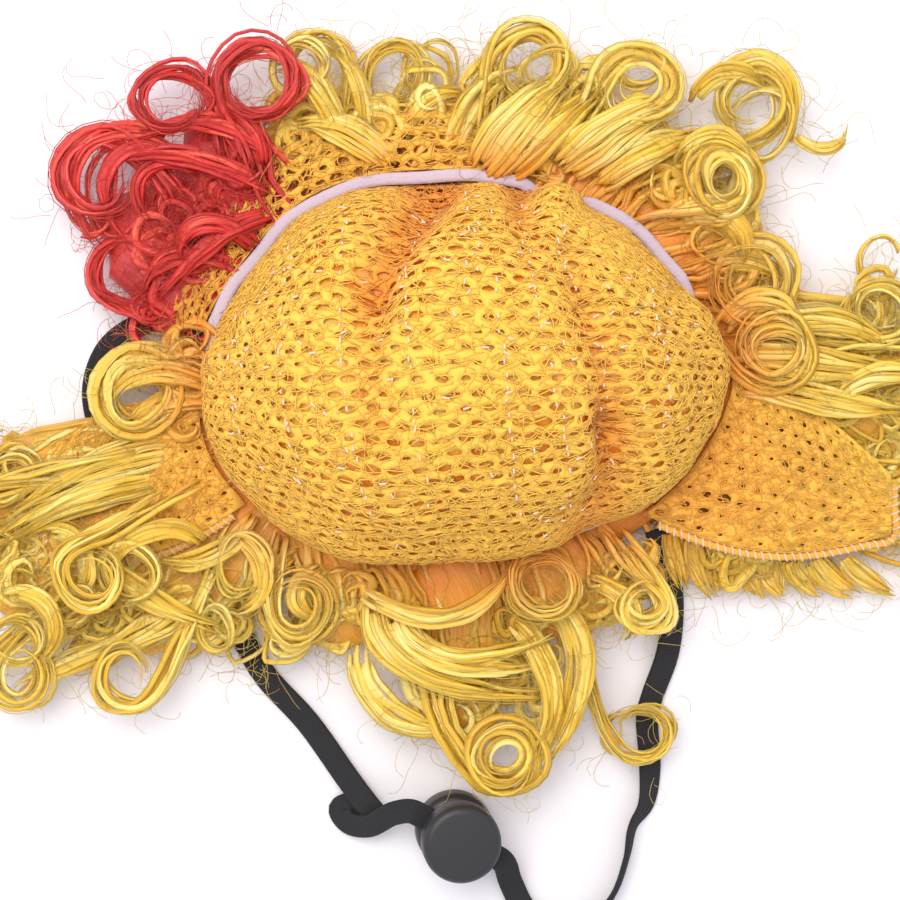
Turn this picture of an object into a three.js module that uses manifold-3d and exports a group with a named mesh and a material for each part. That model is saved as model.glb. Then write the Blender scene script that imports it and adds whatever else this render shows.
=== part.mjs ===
// A small curly wig for a pet, turned inside out and laid down: the net cap puffs up, and the
// hair spills out from under its rim. Millimetres, +Z up, the floor at z = 0.
import * as THREE from 'three';
import { mergeVertices } from 'three/addons/utils/BufferGeometryUtils.js';
import Module from 'manifold-3d';

const wasm = await Module();
wasm.setup();

// Cap: an egg-shaped dome of coarse net
const capHalfWidth = 62.5;
const capHalfLength = 46;
const capRise = 46;
const rimHeight = 12;
const netWall = 1.2;
const capCentreX = 3.7;
const capCentreY = 9.8;

// Clearances between pieces
const gap = 0.3;
const drapeGap = 0.4;

// Elastic in the rim
const rimElasticWidth = 2.8;
const rimElasticThickness = 1;

// Net outside the elastic
const bandWidth = 15;
const flapLength = 49;
const flapWall = 1.2;
const edgingRadius = 1.2;

// Hair
const crownHairThickness = 2.4;
const weftWidth = 15;
const lockWidth = 16;
const hairDepth = 24;
const curlRadius = 10;
const sideReach = 70;
const endReach = 50;

// Chin strap and cord lock
const strapWidth = 6;
const strapThickness = 1.2;
const lockDiameter = 19.4;
const lockHeight = 20;
const lockNeckDiameter = 11;
const lockWall = 2;
const lockTilt = 9;

// Derived sizes
const spreadX = capHalfWidth + sideReach;
const spreadY = capHalfLength + endReach;
const degrees = Math.PI / 180;

function named(columns, rows) {
  const keys = columns.split(' ');
  return rows.map((row) => Object.fromEntries(keys.map((key, k) => [key, row[k]])));
}

// Outline of the cap from above: share of the half sizes at each 30 degrees, from +X
const outlineShares = [1, 0.95, 0.99, 1, 1.045, 0.985, 1, 1.05, 1.08, 0.98, 0.97, 0.975];

function outlineShare(angle) {
  const place = (((angle % 360) + 360) % 360) / 30;
  const k = Math.floor(place);
  const ease = (1 - Math.cos((place - k) * Math.PI)) / 2;
  const next = outlineShares[(k + 1) % 12];
  return outlineShares[k % 12] * (1 - ease) + next * ease;
}

function rimPoint(angle, out, z) {
  const share = outlineShare(angle);
  const x = capCentreX + (capHalfWidth * share + out) * Math.cos(angle * degrees);
  const y = capCentreY + (capHalfLength * share + out) * Math.sin(angle * degrees);
  return new THREE.Vector3(x, y, z);
}

// Folds of the dome: from, by and to are places in shares of the half sizes, depth is a share of
// the rise (a minus sign makes a bulge), width a share of the half width, end what is left of
// the depth at the far end.
const folds = named('x0 y0 x1 y1 x2 y2 depth width end', [
  [-0.12, 0.98, -0.24, 0.72, -0.36, 0.4, 0.2, 0.1, 0.5],
  [-0.36, 0.42, -0.36, 0.1, -0.35, -0.4, 0.09, 0.07, 0.3],
  [-0.55, 0.55, -0.6, 0.2, -0.55, -0.3, -0.05, 0.16, 0.5],
  [0.22, 0.95, 0.23, 0.7, 0.25, 0.3, 0.11, 0.07, 0],
  [0.33, 0.85, 0.32, 0.6, 0.36, 0.3, -0.05, 0.08, 0],
  [0.36, 0.6, 0.52, 0.1, 0.57, -0.4, 0.06, 0.07, 1.4],
  [0.57, -0.35, 0.6, -0.65, 0.44, -0.85, 0.12, 0.08, 0.6],
  [0.8, -0.2, 0.78, -0.5, 0.68, -0.72, -0.04, 0.12, 0.6],
  [-0.1, 0.4, -0.08, 0, -0.05, -0.5, -0.03, 0.16, 0.6],
]);
const pleats = { count: 22, depth: 0.022 };

function foldDepth(x, y, widening) {
  let depth = 0;
  for (const fold of folds) {
    let best = Infinity;
    let at = 0;
    for (let t = 0; t <= 1; t += 0.1) {
      const u = 1 - t;
      const px = u * u * fold.x0 + 2 * u * t * fold.x1 + t * t * fold.x2;
      const py = u * u * fold.y0 + 2 * u * t * fold.y1 + t * t * fold.y2;
      const far = Math.hypot(x - px, (y - py) * (capHalfLength / capHalfWidth));
      if (far < best) {
        best = far;
        at = t;
      }
    }
    const left = 1 + (fold.end - 1) * at;
    const wide = fold.width * (fold.depth > 0 ? widening : 1);
    depth += fold.depth * left * Math.exp(-((best / wide) ** 2));
  }
  return depth * capRise;
}

// A point of the dome. across and along run from -1 to 1, inset goes into the wall. widening
// makes the valleys wider, for what has to stay clear of them.
function capPoint(across, along, inset, widening = 1) {
  const x = across * Math.sqrt(1 - along * along / 2);
  const y = along * Math.sqrt(1 - across * across / 2);
  const ring = Math.min(1, Math.hypot(x, y));
  const angle = Math.atan2(y, x);
  const climb = ring * Math.PI / 2;
  const share = outlineShare(angle / degrees);
  const planX = Math.sin(climb) * Math.cos(angle);
  const planY = Math.sin(climb) * Math.sin(angle);
  const clear = 1 - ring ** 8;
  const pleat = capRise * pleats.depth * ring ** 4 * (1 - Math.cos(pleats.count * angle)) / 2;
  const fold = (foldDepth(planX * share, planY * share, widening) + pleat) * clear;
  const sunk = inset + fold;
  return new THREE.Vector3(
    capCentreX + (capHalfWidth * share - sunk) * planX,
    capCentreY + (capHalfLength * share - sunk) * planY,
    rimHeight + (capRise - sunk) * Math.cos(climb),
  );
}

// A closed wall over a grid. outer and inner give its two faces, open says which cells are gaps.
function wallGrid(columns, rows, outer, inner, open = () => false) {
  const positions = [];
  const stride = rows + 1;
  for (const face of [outer, inner]) {
    for (let i = 0; i <= columns; i += 1) {
      for (let j = 0; j <= rows; j += 1) {
        positions.push(...face(i, j).toArray());
      }
    }
  }
  const under = (columns + 1) * stride;
  const at = (i, j) => i * stride + j;
  const faces = [];
  const quad = (a, b, c, d) => faces.push(a, b, c, a, c, d);
  const isOpen = (i, j) => i < 0 || j < 0 || i >= columns || j >= rows || open(i, j);
  for (let i = 0; i < columns; i += 1) {
    for (let j = 0; j < rows; j += 1) {
      if (isOpen(i, j)) {
        continue;
      }
      const [a, b, c, d] = [at(i, j), at(i + 1, j), at(i + 1, j + 1), at(i, j + 1)];
      quad(a, b, c, d);
      quad(under + d, under + c, under + b, under + a);
      const sides = [[a, b, i, j - 1], [b, c, i + 1, j], [c, d, i, j + 1], [d, a, i - 1, j]];
      for (const [p, q, ni, nj] of sides) {
        if (isOpen(ni, nj)) {
          quad(q, p, under + p, under + q);
        }
      }
    }
  }
  const geometry = new THREE.BufferGeometry();
  geometry.setAttribute('position', new THREE.Float32BufferAttribute(positions, 3));
  geometry.setIndex(faces);
  return geometry;
}

function toSolid(geometry) {
  geometry.deleteAttribute('normal');
  geometry.deleteAttribute('uv');
  const merged = mergeVertices(geometry, 1e-4);
  return new wasm.Manifold(new wasm.Mesh({
    numProp: 3,
    vertProperties: new Float32Array(merged.attributes.position.array),
    triVerts: new Uint32Array(merged.index.array),
  }));
}

function toGeometry(solid) {
  const mesh = solid.getMesh();
  const geometry = new THREE.BufferGeometry();
  geometry.setAttribute('position', new THREE.BufferAttribute(mesh.vertProperties, 3));
  geometry.setIndex(new THREE.BufferAttribute(mesh.triVerts, 1));
  return geometry;
}

function joined(solids) {
  return solids.reduce((whole, solid) => whole.add(solid));
}

// The main body of a cut piece: what a cut leaves as loose crumbs is left away.
function mainBody(solid) {
  const bodies = solid.decompose();
  return bodies.reduce((best, body) => (body.volume() > best.volume() ? body : best));
}

// A bar bent along a path, with a flat side up. section(t) gives half width, half height and
// roll at t from 0 to 1. A full bar reaches the half height with its flats.
function bentBar(path, steps, sides, section, full = false, evenly = true) {
  const radius = full ? 1 / Math.cos(Math.PI / sides) : 1;
  const bar = new THREE.CylinderGeometry(radius, radius, 1, sides, steps);
  bar.rotateY(Math.PI / sides);
  const up = new THREE.Vector3(0, 0, 1);
  const frames = [];
  let last = null;
  for (let k = 0; k <= steps; k += 1) {
    const t = k / steps;
    const along = evenly ? path.getTangentAt(t) : path.getTangent(t);
    let side = new THREE.Vector3().crossVectors(along, up);
    if (side.length() < 0.2 && last) {
      side = last.clone().addScaledVector(along, -last.dot(along));
    }
    if (last && side.dot(last) < 0) {
      side.negate();
    }
    side.normalize();
    last = side;
    const { roll = 0 } = section(t);
    const turned = side.clone().applyAxisAngle(along, roll * degrees);
    const rise = new THREE.Vector3().crossVectors(turned, along).normalize();
    frames.push({ at: evenly ? path.getPointAt(t) : path.getPoint(t), side: turned, rise });
  }
  const spots = bar.attributes.position;
  for (let n = 0; n < spots.count; n += 1) {
    const t = spots.getY(n) + 0.5;
    const frame = frames[Math.round(t * steps)];
    const { halfWidth, halfHeight } = section(t);
    const spot = frame.at.clone();
    spot.addScaledVector(frame.side, spots.getX(n) * halfWidth);
    spot.addScaledVector(frame.rise, spots.getZ(n) * halfHeight);
    spots.setXYZ(n, spot.x, spot.y, spot.z);
  }
  return bar;
}

const group = new THREE.Group();

const finishes = {
  net: { color: '#F3BE35', roughness: 0.8, metalness: 0 },
  yellowHair: { color: '#E8C43C', roughness: 0.45, metalness: 0 },
  redHair: { color: '#D9363A', roughness: 0.45, metalness: 0 },
  paleElastic: { color: '#DCCFD6', roughness: 0.8, metalness: 0 },
  edging: { color: '#EBB489', roughness: 0.85, metalness: 0 },
  blackElastic: { color: '#3E3E40', roughness: 0.9, metalness: 0 },
  blackPlastic: { color: '#3A3A3C', roughness: 0.5, metalness: 0 },
};

function addPiece(name, geometry, finish) {
  const mesh = new THREE.Mesh(geometry, new THREE.MeshStandardMaterial(finishes[finish]));
  mesh.name = name;
  group.add(mesh);
  return mesh;
}

// Net cap
const capColumns = 22;
const capRows = 17;
const barShare = 0.7;

// Rows of gaps are wider than the bars between them
function rowPlace(j) {
  const gapRows = Math.floor(j / 2);
  const barRows = Math.ceil(j / 2);
  const total = Math.floor(capRows / 2) + Math.ceil(capRows / 2) * barShare;
  return -1 + 2 * (gapRows + barRows * barShare) / total;
}

function isCapGap(i, j) {
  const row = (j - 1) / 2;
  const inside = i > 0 && i < capColumns - 1;
  return inside && j % 2 === 1 && (i + row) % 2 === 1;
}

function capGridPoint(inset) {
  return (i, j) => capPoint(-1 + 2 * i / capColumns, rowPlace(j), inset);
}

const capNet = wallGrid(capColumns, capRows, capGridPoint(0), capGridPoint(netWall), isCapGap);
addPiece('cap_net', capNet, 'net');

// Crown hair: strips of wavy hair that line the dome from within
const liningColumns = 16;
const liningRows = 10;
const liningClearance = 2;
const valleyWidening = 1.6;
const stripRelief = 0.35;

function liningPoint(depth) {
  return (i, j) => {
    const across = -1 + 2 * i / liningColumns;
    const along = -1 + 2 * j / liningRows;
    const wave = i % 2 === 1 ? crownHairThickness * stripRelief : 0;
    return capPoint(across * 0.96, along * 0.96, netWall + depth + wave, valleyWidening);
  };
}

const lining = wallGrid(
  liningColumns,
  liningRows,
  liningPoint(liningClearance),
  liningPoint(liningClearance + crownHairThickness),
);
addPiece('crown_hair', lining, 'yellowHair');

// Rim elastic: one whole loop round the foot of the dome
const loopSteps = 36;

function rimLoop(out, low, high, width) {
  const steps = loopSteps;
  const corner = (i, j) => {
    const angle = 360 * (i % steps) / steps;
    const far = out + (j === 1 || j === 2 ? width : 0);
    return rimPoint(angle, far, j < 2 ? low : high);
  };
  const positions = [];
  const faces = [];
  for (let i = 0; i < steps; i += 1) {
    for (let j = 0; j < 4; j += 1) {
      positions.push(...corner(i, j).toArray());
      const [a, b] = [i * 4 + j, i * 4 + (j + 1) % 4];
      const [c, d] = [(i + 1) % steps * 4 + (j + 1) % 4, (i + 1) % steps * 4 + j];
      faces.push(a, c, b, a, d, c);
    }
  }
  const geometry = new THREE.BufferGeometry();
  geometry.setAttribute('position', new THREE.Float32BufferAttribute(positions, 3));
  geometry.setIndex(faces);
  return geometry;
}

const elasticLow = rimHeight + gap;
const elasticHigh = elasticLow + rimElasticThickness;
const elasticOut = drapeGap;
const elasticEdge = elasticOut + rimElasticWidth;
addPiece('rim_elastic', rimLoop(elasticOut, elasticLow, elasticHigh, rimElasticWidth), 'paleElastic');

// Net outside the elastic. Each sheet is a grid from the rim outwards.
const sheetStart = elasticEdge + drapeGap;

function sheetPiece(columns, rows, point, open) {
  const top = (i, j) => point(i / columns, j / rows);
  const drop = new THREE.Vector3(0, 0, -flapWall);
  const foot = (i, j) => top(i, j).add(drop);
  return wallGrid(columns, rows, top, foot, open);
}

const bandFrom = 168;
const bandTo = 72;
const bandColumns = 13;
const bandRows = 3;
const bandWaves = 9;
const bandEndRoom = 0.05;
const bandShares = [0.55, 0.8, 1, 1.15, 1.1, 0.9];

// grow makes room round the band, for what has to stay clear of it
function bandPoint(around, out, grow = 0) {
  const stretch = (around - 0.5) * grow * bandEndRoom;
  const angle = bandFrom + (bandTo - bandFrom) * (around + stretch);
  const place = around * (bandShares.length - 1);
  const k = Math.min(Math.floor(place), bandShares.length - 2);
  const share = bandShares[k] + (bandShares[k + 1] - bandShares[k]) * (place - k);
  const far = sheetStart - grow + (bandWidth * share + 2 * grow) * out;
  const wave = Math.sin(around * bandWaves * Math.PI) * flapWall * 0.8 * out;
  return rimPoint(angle, far, rimHeight + flapWall - flapWall * 2 * out * out + wave);
}

const bandGap = (i, j) => j === 1 && i % 2 === 1;
const frontBand = sheetPiece(bandColumns, bandRows, (u, v) => bandPoint(u, v), bandGap);
addPiece('front_net_band', frontBand, 'net');

// Side flaps: root angles on the rim, then the reach and the two edges in shares of flapLength
const flapShapes = {
  right_flap: {
    high: 1, low: -47, reach: 0.88, tipHigh: -0.42, tipLow: -0.66, way: 1,
  },
  left_flap: {
    high: 187, low: 219, reach: 0.82, tipHigh: -0.3, tipLow: -0.72, way: -1,
  },
};

const flapTipHeight = rimHeight * 0.75;
const flapSlant = 1.25;
const flapBulge = 0.14;
const flapRipples = 1.1;

// A point of a flap: out from the rim to the tip, across from its high to its low edge
function flapPoint(shape) {
  return (out, across) => {
    const angle = shape.high + (shape.low - shape.high) * across;
    const root = rimPoint(angle, sheetStart, rimHeight);
    const edge = shape.tipHigh + (shape.tipLow - shape.tipHigh) * across;
    const tip = new THREE.Vector3(
      capCentreX + shape.way * (capHalfWidth + flapLength * shape.reach),
      capCentreY + flapLength * edge * flapSlant,
      flapTipHeight,
    );
    const bulge = Math.sin(out * Math.PI) * flapLength * flapBulge * (across < 0.5 ? 0.5 : 1);
    const ripple = Math.sin(out * flapRipples * 2 * Math.PI) * Math.sin(across * Math.PI);
    const spot = root.lerp(tip, out);
    spot.y += bulge * (0.5 - across) * 2;
    spot.z += ripple * flapWall;
    return spot;
  };
}

const flapColumns = 7;
const flapRows = 5;

function isFlapGap(i, j) {
  const row = (j - 1) / 2;
  const inside = i > 0 && i < flapColumns - 1;
  return inside && j % 2 === 1 && (i + row) % 2 === 1;
}

function flapSheet(shape) {
  const place = flapPoint(shape);
  const point = shape.way > 0 ? (u, v) => place(u, 1 - v) : place;
  return sheetPiece(flapColumns, flapRows, point, isFlapGap);
}

for (const [name, shape] of Object.entries(flapShapes)) {
  addPiece(name, flapSheet(shape), 'net');
}

// Overlocked edge: a thin roll along the lower edge and round the tip
function edgingPath(shape) {
  const place = flapPoint(shape);
  const out = edgingRadius + drapeGap;
  const spots = [];
  for (let k = 0; k <= 8; k += 1) {
    const spot = place(0.06 + 0.94 * k / 8, 1);
    spots.push(spot.add(new THREE.Vector3(k === 8 ? shape.way * out : 0, -out * 1.3, 0)));
  }
  for (let k = 1; k >= 0; k -= 1) {
    const spot = place(1, 0.15 + 0.4 * k);
    spots.push(spot.add(new THREE.Vector3(shape.way * out, 0, 0)));
  }
  for (const spot of spots) {
    spot.z -= flapWall / 2;
  }
  return new THREE.CatmullRomCurve3(spots);
}

const edgingSteps = 14;
const edgingSides = 5;

function edging(shape) {
  return bentBar(edgingPath(shape), edgingSteps, edgingSides, () => ({
    halfWidth: edgingRadius,
    halfHeight: edgingRadius,
  }));
}

for (const [name, shape] of Object.entries(flapShapes)) {
  addPiece(`${name}_edging`, edging(shape), 'edging');
}

// Chin strap: its route, chosen point by point. roll is how far the flat band is turned on edge.
const strapRoute = named('x y z roll', [
  [-60, 19.5, 10.5, 35],
  [-66.5, 24.5, 7, 30],
  [-78, 21.5, 3, 15],
  [-86, 15.5, 1.6, 0],
  [-89.5, 6, 1.2, 0],
  [-88, -4, 1.2, 0],
  [-83, -14, 1.2, 0],
  [-76, -26, 1.2, 0],
  [-68, -38, 1.2, 0],
  [-60, -48, 1.2, 0],
  [-52.7, -56.4, 1.2, 0],
  [-46.6, -66.4, 1.2, 0],
  [-35.8, -78.2, 1.3, 0],
  [-25.5, -92.5, 2.2, 0],
  [-20.6, -98.6, 4.2, 0],
  [-19.2, -100.3, 4.1, 0],
  [-20.2, -99.6, 2.3, 0],
  [-24.4, -98.8, 1.6, 8],
  [-27.6, -100, 1.7, 14],
  [-25.6, -103.2, 2.6, 18],
  [-20.5, -103.6, 5.6, 12],
  [-14, -99.6, 10.8, 4],
  [-9.6, -98.7, 12.7, 0],
  [-6.4, -100.2, 12.5, 0],
  [1.85, -105, 11, 0],
  [10.1, -109.8, 9.5, 0],
  [13.2, -112, 8.4, 0],
  [15.2, -118, 3.4, 6],
  [19, -125.5, 1.6, 10],
  [26, -130.5, 2, 40],
  [35, -128, 2.8, 70],
  [41, -121, 3.2, 80],
  [44.3, -111.7, 3.2, 80],
  [45.8, -104.1, 3.1, 70],
  [49.2, -98.5, 2.6, 45],
  [50.2, -89.2, 2.2, 25],
  [49.5, -76.7, 2, 20],
  [50.7, -71.8, 2, 20],
  [54.6, -61, 1.8, 15],
  [55.8, -51.7, 1.8, 15],
  [55.4, -43.6, 2.6, 15],
  [53.5, -36, 4.4, 10],
  [51.4, -29.6, 6.6, 0],
]);
const strapPath = new THREE.CatmullRomCurve3(
  strapRoute.map((spot) => new THREE.Vector3(spot.x, spot.y, spot.z)),
  false,
  'centripetal',
);

function strapBar(grow) {
  const last = strapRoute.length - 1;
  const rollAt = (t) => {
    const k = Math.min(Math.floor(t * last), last - 1);
    const from = strapRoute[k].roll;
    return from + (strapRoute[k + 1].roll - from) * (t * last - k);
  };
  return bentBar(strapPath, last * 2, 4, (t) => ({
    halfWidth: strapWidth / 2 + grow,
    halfHeight: strapThickness / 2 + grow,
    roll: rollAt(t),
  }), true, false);
}

addPiece('chin_strap', strapBar(0), 'blackElastic');

// Cord lock: stands upright on the strap, which runs through a slot in its neck
const lockCentre = new THREE.Vector3(0.5, -104.2, 0);
const lockTurn = -30;
const lockSides = 16;

function turned(profile) {
  const points = profile.map(([r, z]) => new THREE.Vector2(r, z));
  return new THREE.LatheGeometry(points, lockSides).rotateX(Math.PI / 2);
}

function placedLock(geometry) {
  const lean = new THREE.Matrix4().makeRotationY(lockTilt * degrees);
  const turn = new THREE.Matrix4().makeRotationZ(lockTurn * degrees);
  const lift = lockDiameter / 2 * 0.75 * Math.sin(lockTilt * degrees);
  const move = new THREE.Matrix4().makeTranslation(lockCentre.x, lockCentre.y, lift);
  return geometry.applyMatrix4(lean).applyMatrix4(turn).applyMatrix4(move);
}

const outerR = lockDiameter / 2;
const neckR = lockNeckDiameter / 2;
const baseTop = lockHeight * 0.4;
const neckTop = lockHeight * 0.8;
const slotLow = baseTop + lockWall / 4;
const slotHigh = slotLow + strapThickness + 6 * gap;
const slotWidth = strapWidth + 6 * gap;

function cordLockBase() {
  const body = toSolid(turned([
    [0, 0],
    [outerR * 0.75, 0],
    [outerR * 0.95, baseTop * 0.28],
    [outerR, baseTop * 0.62],
    [outerR * 0.93, baseTop],
    [neckR, baseTop],
    [neckR, neckTop],
    [0, neckTop],
  ]));
  const slot = new THREE.BoxGeometry(lockDiameter * 2, slotWidth, slotHigh - slotLow);
  slot.translate(0, 0, (slotLow + slotHigh) / 2);
  return toGeometry(body.subtract(toSolid(slot)));
}

const buttonFoot = slotHigh + gap;

function cordLockButton() {
  const bore = neckR + gap;
  const roof = neckTop + 2 * gap;
  const body = toSolid(turned([
    [0, buttonFoot],
    [outerR * 0.93, buttonFoot],
    [outerR, buttonFoot + lockHeight * 0.12],
    [outerR * 0.97, lockHeight * 0.85],
    [outerR * 0.8, lockHeight * 0.97],
    [outerR * 0.55, lockHeight],
    [0, lockHeight],
  ]));
  const hollow = new THREE.CylinderGeometry(bore, bore, 2 * (roof - buttonFoot), lockSides);
  hollow.rotateX(Math.PI / 2).translate(0, 0, buttonFoot);
  return toGeometry(body.subtract(toSolid(hollow)));
}

addPiece('cord_lock_base', placedLock(cordLockBase()), 'blackPlastic');
addPiece('cord_lock_button', placedLock(cordLockButton()), 'blackPlastic');

// Locks of hair. Each starts on the weft at the angle root, runs to its place and either ends
// there, or winds round it turns times with the given radius. x and y are shares of the
// spread, radius of curlRadius, low, high and tall of hairDepth, wide of lockWidth, and sway
// is a side wave in shares of lockWidth.
const lockColumns = 'root x y turns radius low high wide tall sway';
const hairGroups = {
  top_hair_right: {
    finish: 'yellowHair',
    locks: named(lockColumns, [
      [94, 0.13, 0.84, 0, 0, 0.28, 0.28, 2.2, 0.62, 0.1],
      [66, 0.38, 0.8, 0, 0, 0.28, 0.3, 2.2, 0.64, 0.1],
      [40, 0.58, 0.49, 0, 0, 0.28, 0.3, 2.6, 0.64, 0.1],
      [88, 0.15, 0.89, -1, 0.9, 0.4, 0.6, 0.36, 0.45, 0],
      [72, 0.35, 0.83, -1.1, 0.9, 0.4, 0.66, 0.36, 0.45, 0],
      [50, 0.504, 0.587, 1.3, 0.82, 0.4, 0.75, 0.42, 0.5, 0],
      [60, 0.56, 0.79, 1, 0.85, 0.3, 0.5, 0.3, 0.4, 0],
      [36, 0.56, 0.33, -1.1, 1, 0.4, 0.6, 0.36, 0.45, 0],
    ]),
  },
  top_hair_left: {
    finish: 'yellowHair',
    locks: named(lockColumns, [
      [118, -0.2, 0.84, 0, 0, 0.26, 0.24, 2, 0.6, 0],
      [120, -0.25, 0.89, 1, 0.8, 0.3, 0.5, 0.28, 0.35, 0],
      [113, -0.1, 0.87, -0.9, 0.8, 0.26, 0.34, 0.2, 0.25, 0],
    ]),
  },
  red_forelock: {
    finish: 'redHair',
    locks: named(lockColumns, [
      [156, -0.66, 0.51, 0, 0, 0.3, 0.32, 2.4, 0.7, 0.1],
      [140, -0.49, 0.77, 0, 0, 0.3, 0.32, 2, 0.7, 0.1],
      [135, -0.356, 0.837, -1.1, 1.03, 0.4, 0.76, 0.32, 0.45, 0],
      [145, -0.515, 0.79, 1, 0.88, 0.4, 0.7, 0.22, 0.3, 0],
      [152, -0.65, 0.6, 0.95, 1.05, 0.4, 0.6, 0.36, 0.4, 0.1],
      [164, -0.605, 0.36, -1.05, 0.85, 0.3, 0.44, 0.26, 0.34, 0],
    ]),
  },
  temple_curl: {
    finish: 'yellowHair',
    locks: named(lockColumns, [
      [182, -0.54, 0.07, 0, 0, 0.38, 0.42, 1.4, 0.45, 0],
      [181, -0.575, 0.04, 1.2, 1, 0.45, 0.6, 0.42, 0.45, 0],
    ]),
  },
  side_hair_left: {
    finish: 'yellowHair',
    locks: named(lockColumns, [
      [200, -0.92, -0.27, 0, 0, 0.27, 0.24, 2.2, 0.6, 0.1],
      [210, -0.86, -0.5, 0, 0, 0.27, 0.24, 2.7, 0.6, -0.1],
      [218, -0.57, -0.63, 0, 0, 0.27, 0.26, 2.1, 0.6, 0.1],
      [202, -0.93, -0.3, 1, 0.8, 0.4, 0.6, 0.34, 0.4, 0],
      [213, -0.8, -0.68, 1, 0.75, 0.3, 0.55, 0.34, 0.4, 0],
      [217, -0.6, -0.68, -1, 0.8, 0.3, 0.6, 0.34, 0.4, 0],
      [208, -0.66, -0.42, 1, 0.8, 0.6, 0.75, 0.3, 0.35, 0],
    ]),
  },
  back_hair: {
    finish: 'yellowHair',
    locks: named(lockColumns, [
      [238, -0.16, -0.6, 0, 0, 0.28, 0.28, 2.2, 0.64, 0.1],
      [262, 0.08, -0.84, 0, 0, 0.26, 0.3, 2.4, 0.7, 0.2],
      [288, 0.26, -0.58, 0, 0, 0.28, 0.3, 2.3, 0.64, 0],
      [254, 0.1, -0.88, 1.4, 0.78, 0.4, 0.8, 0.42, 0.5, 0.2],
      [284, 0.176, -0.44, 1, 0.75, 0.6, 0.85, 0.2, 0.26, 0],
      [304, 0.36, -0.5, -1, 0.55, 0.5, 0.7, 0.36, 0.35, 0],
      [290, 0.36, -0.83, 1, 0.75, 0.3, 0.42, 0.2, 0.25, 0.1],
      [228, -0.28, -0.5, 1, 0.8, 0.4, 0.7, 0.34, 0.4, 0],
    ]),
  },
  side_hair_right: {
    finish: 'yellowHair',
    locks: named(lockColumns, [
      [10, 0.92, 0.06, 0, 0, 0.26, 0.24, 2.7, 0.58, 0.1],
      [-14, 0.94, -0.22, 0, 0, 0.18, 0.16, 2.7, 0.42, 0],
      [-33, 0.64, -0.39, 0, 0, 0.18, 0.16, 1.9, 0.42, 0],
      [17, 0.6, 0.16, 1.1, 0.95, 0.44, 0.64, 0.36, 0.4, 0],
      [12, 0.8, 0.25, 1, 0.78, 0.36, 0.55, 0.26, 0.34, 0],
      [6, 0.92, 0.1, -1.1, 0.85, 0.4, 0.6, 0.34, 0.4, 0],
      [-28, 0.92, -0.42, -1, 0.6, 0.2, 0.34, 0.34, 0.34, 0],
    ]),
  },
};

const lockLegs = 4;
const spotsPerTurn = 8;
const stepsPerTurn = 7;
const curlTightening = 0.25;

function lockSpots(lock) {
  const start = rimPoint(lock.root, 0, lock.low * hairDepth);
  const centre = new THREE.Vector3(lock.x * spreadX, lock.y * spreadY, lock.high * hairDepth);
  const spots = [];
  const radius = lock.radius * curlRadius;
  const away = new THREE.Vector2(start.x - centre.x, start.y - centre.y);
  const turn = Math.sign(lock.turns);
  let end = centre.clone();
  let angle = 0;
  if (turn !== 0) {
    const lean = Math.acos(Math.min(1, radius / away.length()));
    angle = away.angle() + turn * lean;
    end.x += radius * Math.cos(angle);
    end.y += radius * Math.sin(angle);
  }
  end.z = turn === 0 ? centre.z : (start.z + centre.z) / 2;
  const side = new THREE.Vector3(start.y - end.y, end.x - start.x, 0).normalize();
  for (let k = 0; k < lockLegs; k += 1) {
    const t = k / lockLegs;
    const wave = Math.sin(t * 2 * Math.PI) * lock.sway * lockWidth;
    spots.push(start.clone().lerp(end, t).addScaledVector(side, wave));
  }
  if (turn === 0) {
    spots.push(end);
    return spots;
  }
  const pieces = Math.ceil(Math.abs(lock.turns) * spotsPerTurn);
  for (let k = 0; k <= pieces; k += 1) {
    const t = k / pieces;
    const at = angle + lock.turns * 2 * Math.PI * t;
    const r = radius * (1 - curlTightening * t);
    const x = centre.x + r * Math.cos(at);
    const y = centre.y + r * Math.sin(at);
    spots.push(new THREE.Vector3(x, y, end.z + (centre.z - end.z) * t));
  }
  return spots;
}

function lockSolid(lock) {
  const path = new THREE.CatmullRomCurve3(lockSpots(lock), false, 'centripetal');
  const curled = lock.turns !== 0;
  const steps = lockLegs + (curled ? Math.ceil(Math.abs(lock.turns) * stepsPerTurn) : 0);
  const sides = lock.wide < 0.35 ? 4 : 5;
  return toSolid(bentBar(path, steps, curled ? sides : 6, (t) => {
    const taper = curled ? 1 - 0.35 * t ** 3 : 1 - 0.65 * t ** 4;
    return {
      halfWidth: lock.wide * lockWidth / 2 * taper,
      halfHeight: lock.tall * hairDepth / 2 * taper,
    };
  }, !curled));
}

// The weft is a flat-topped roll under the rim, which carries the cap
const weftStep = 15;
const weftFoot = rimHeight / 6;

function weftSolid(from, to) {
  const steps = Math.max(2, Math.round((to - from) / weftStep));
  const top = (high) => (i, j) => rimPoint(
    from + (to - from) * i / steps,
    weftWidth * (0.5 - j),
    high,
  );
  return toSolid(wallGrid(steps, 1, top(rimHeight - gap), top(weftFoot)));
}

// Prism over a plan outline that runs counter-clockwise
function prism(plan, low, high) {
  const shape = new THREE.Shape(plan.map((spot) => new THREE.Vector2(spot.x, spot.y)));
  const body = new THREE.ExtrudeGeometry(shape, { depth: high - low, bevelEnabled: false });
  return toSolid(body.translate(0, 0, low));
}

// Partings: where the hair divides, from the rim angle to a far place in shares of the spread
const partings = named('root x y', [
  [23, 1.3, 0.62],
  [107, -0.02, 1.3],
  [128, -0.42, 1.3],
  [171, -1.3, 0.28],
  [190, -1.3, -0.02],
  [222.5, -0.52, -1.3],
  [318, 0.75, -1.3],
]);

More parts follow.
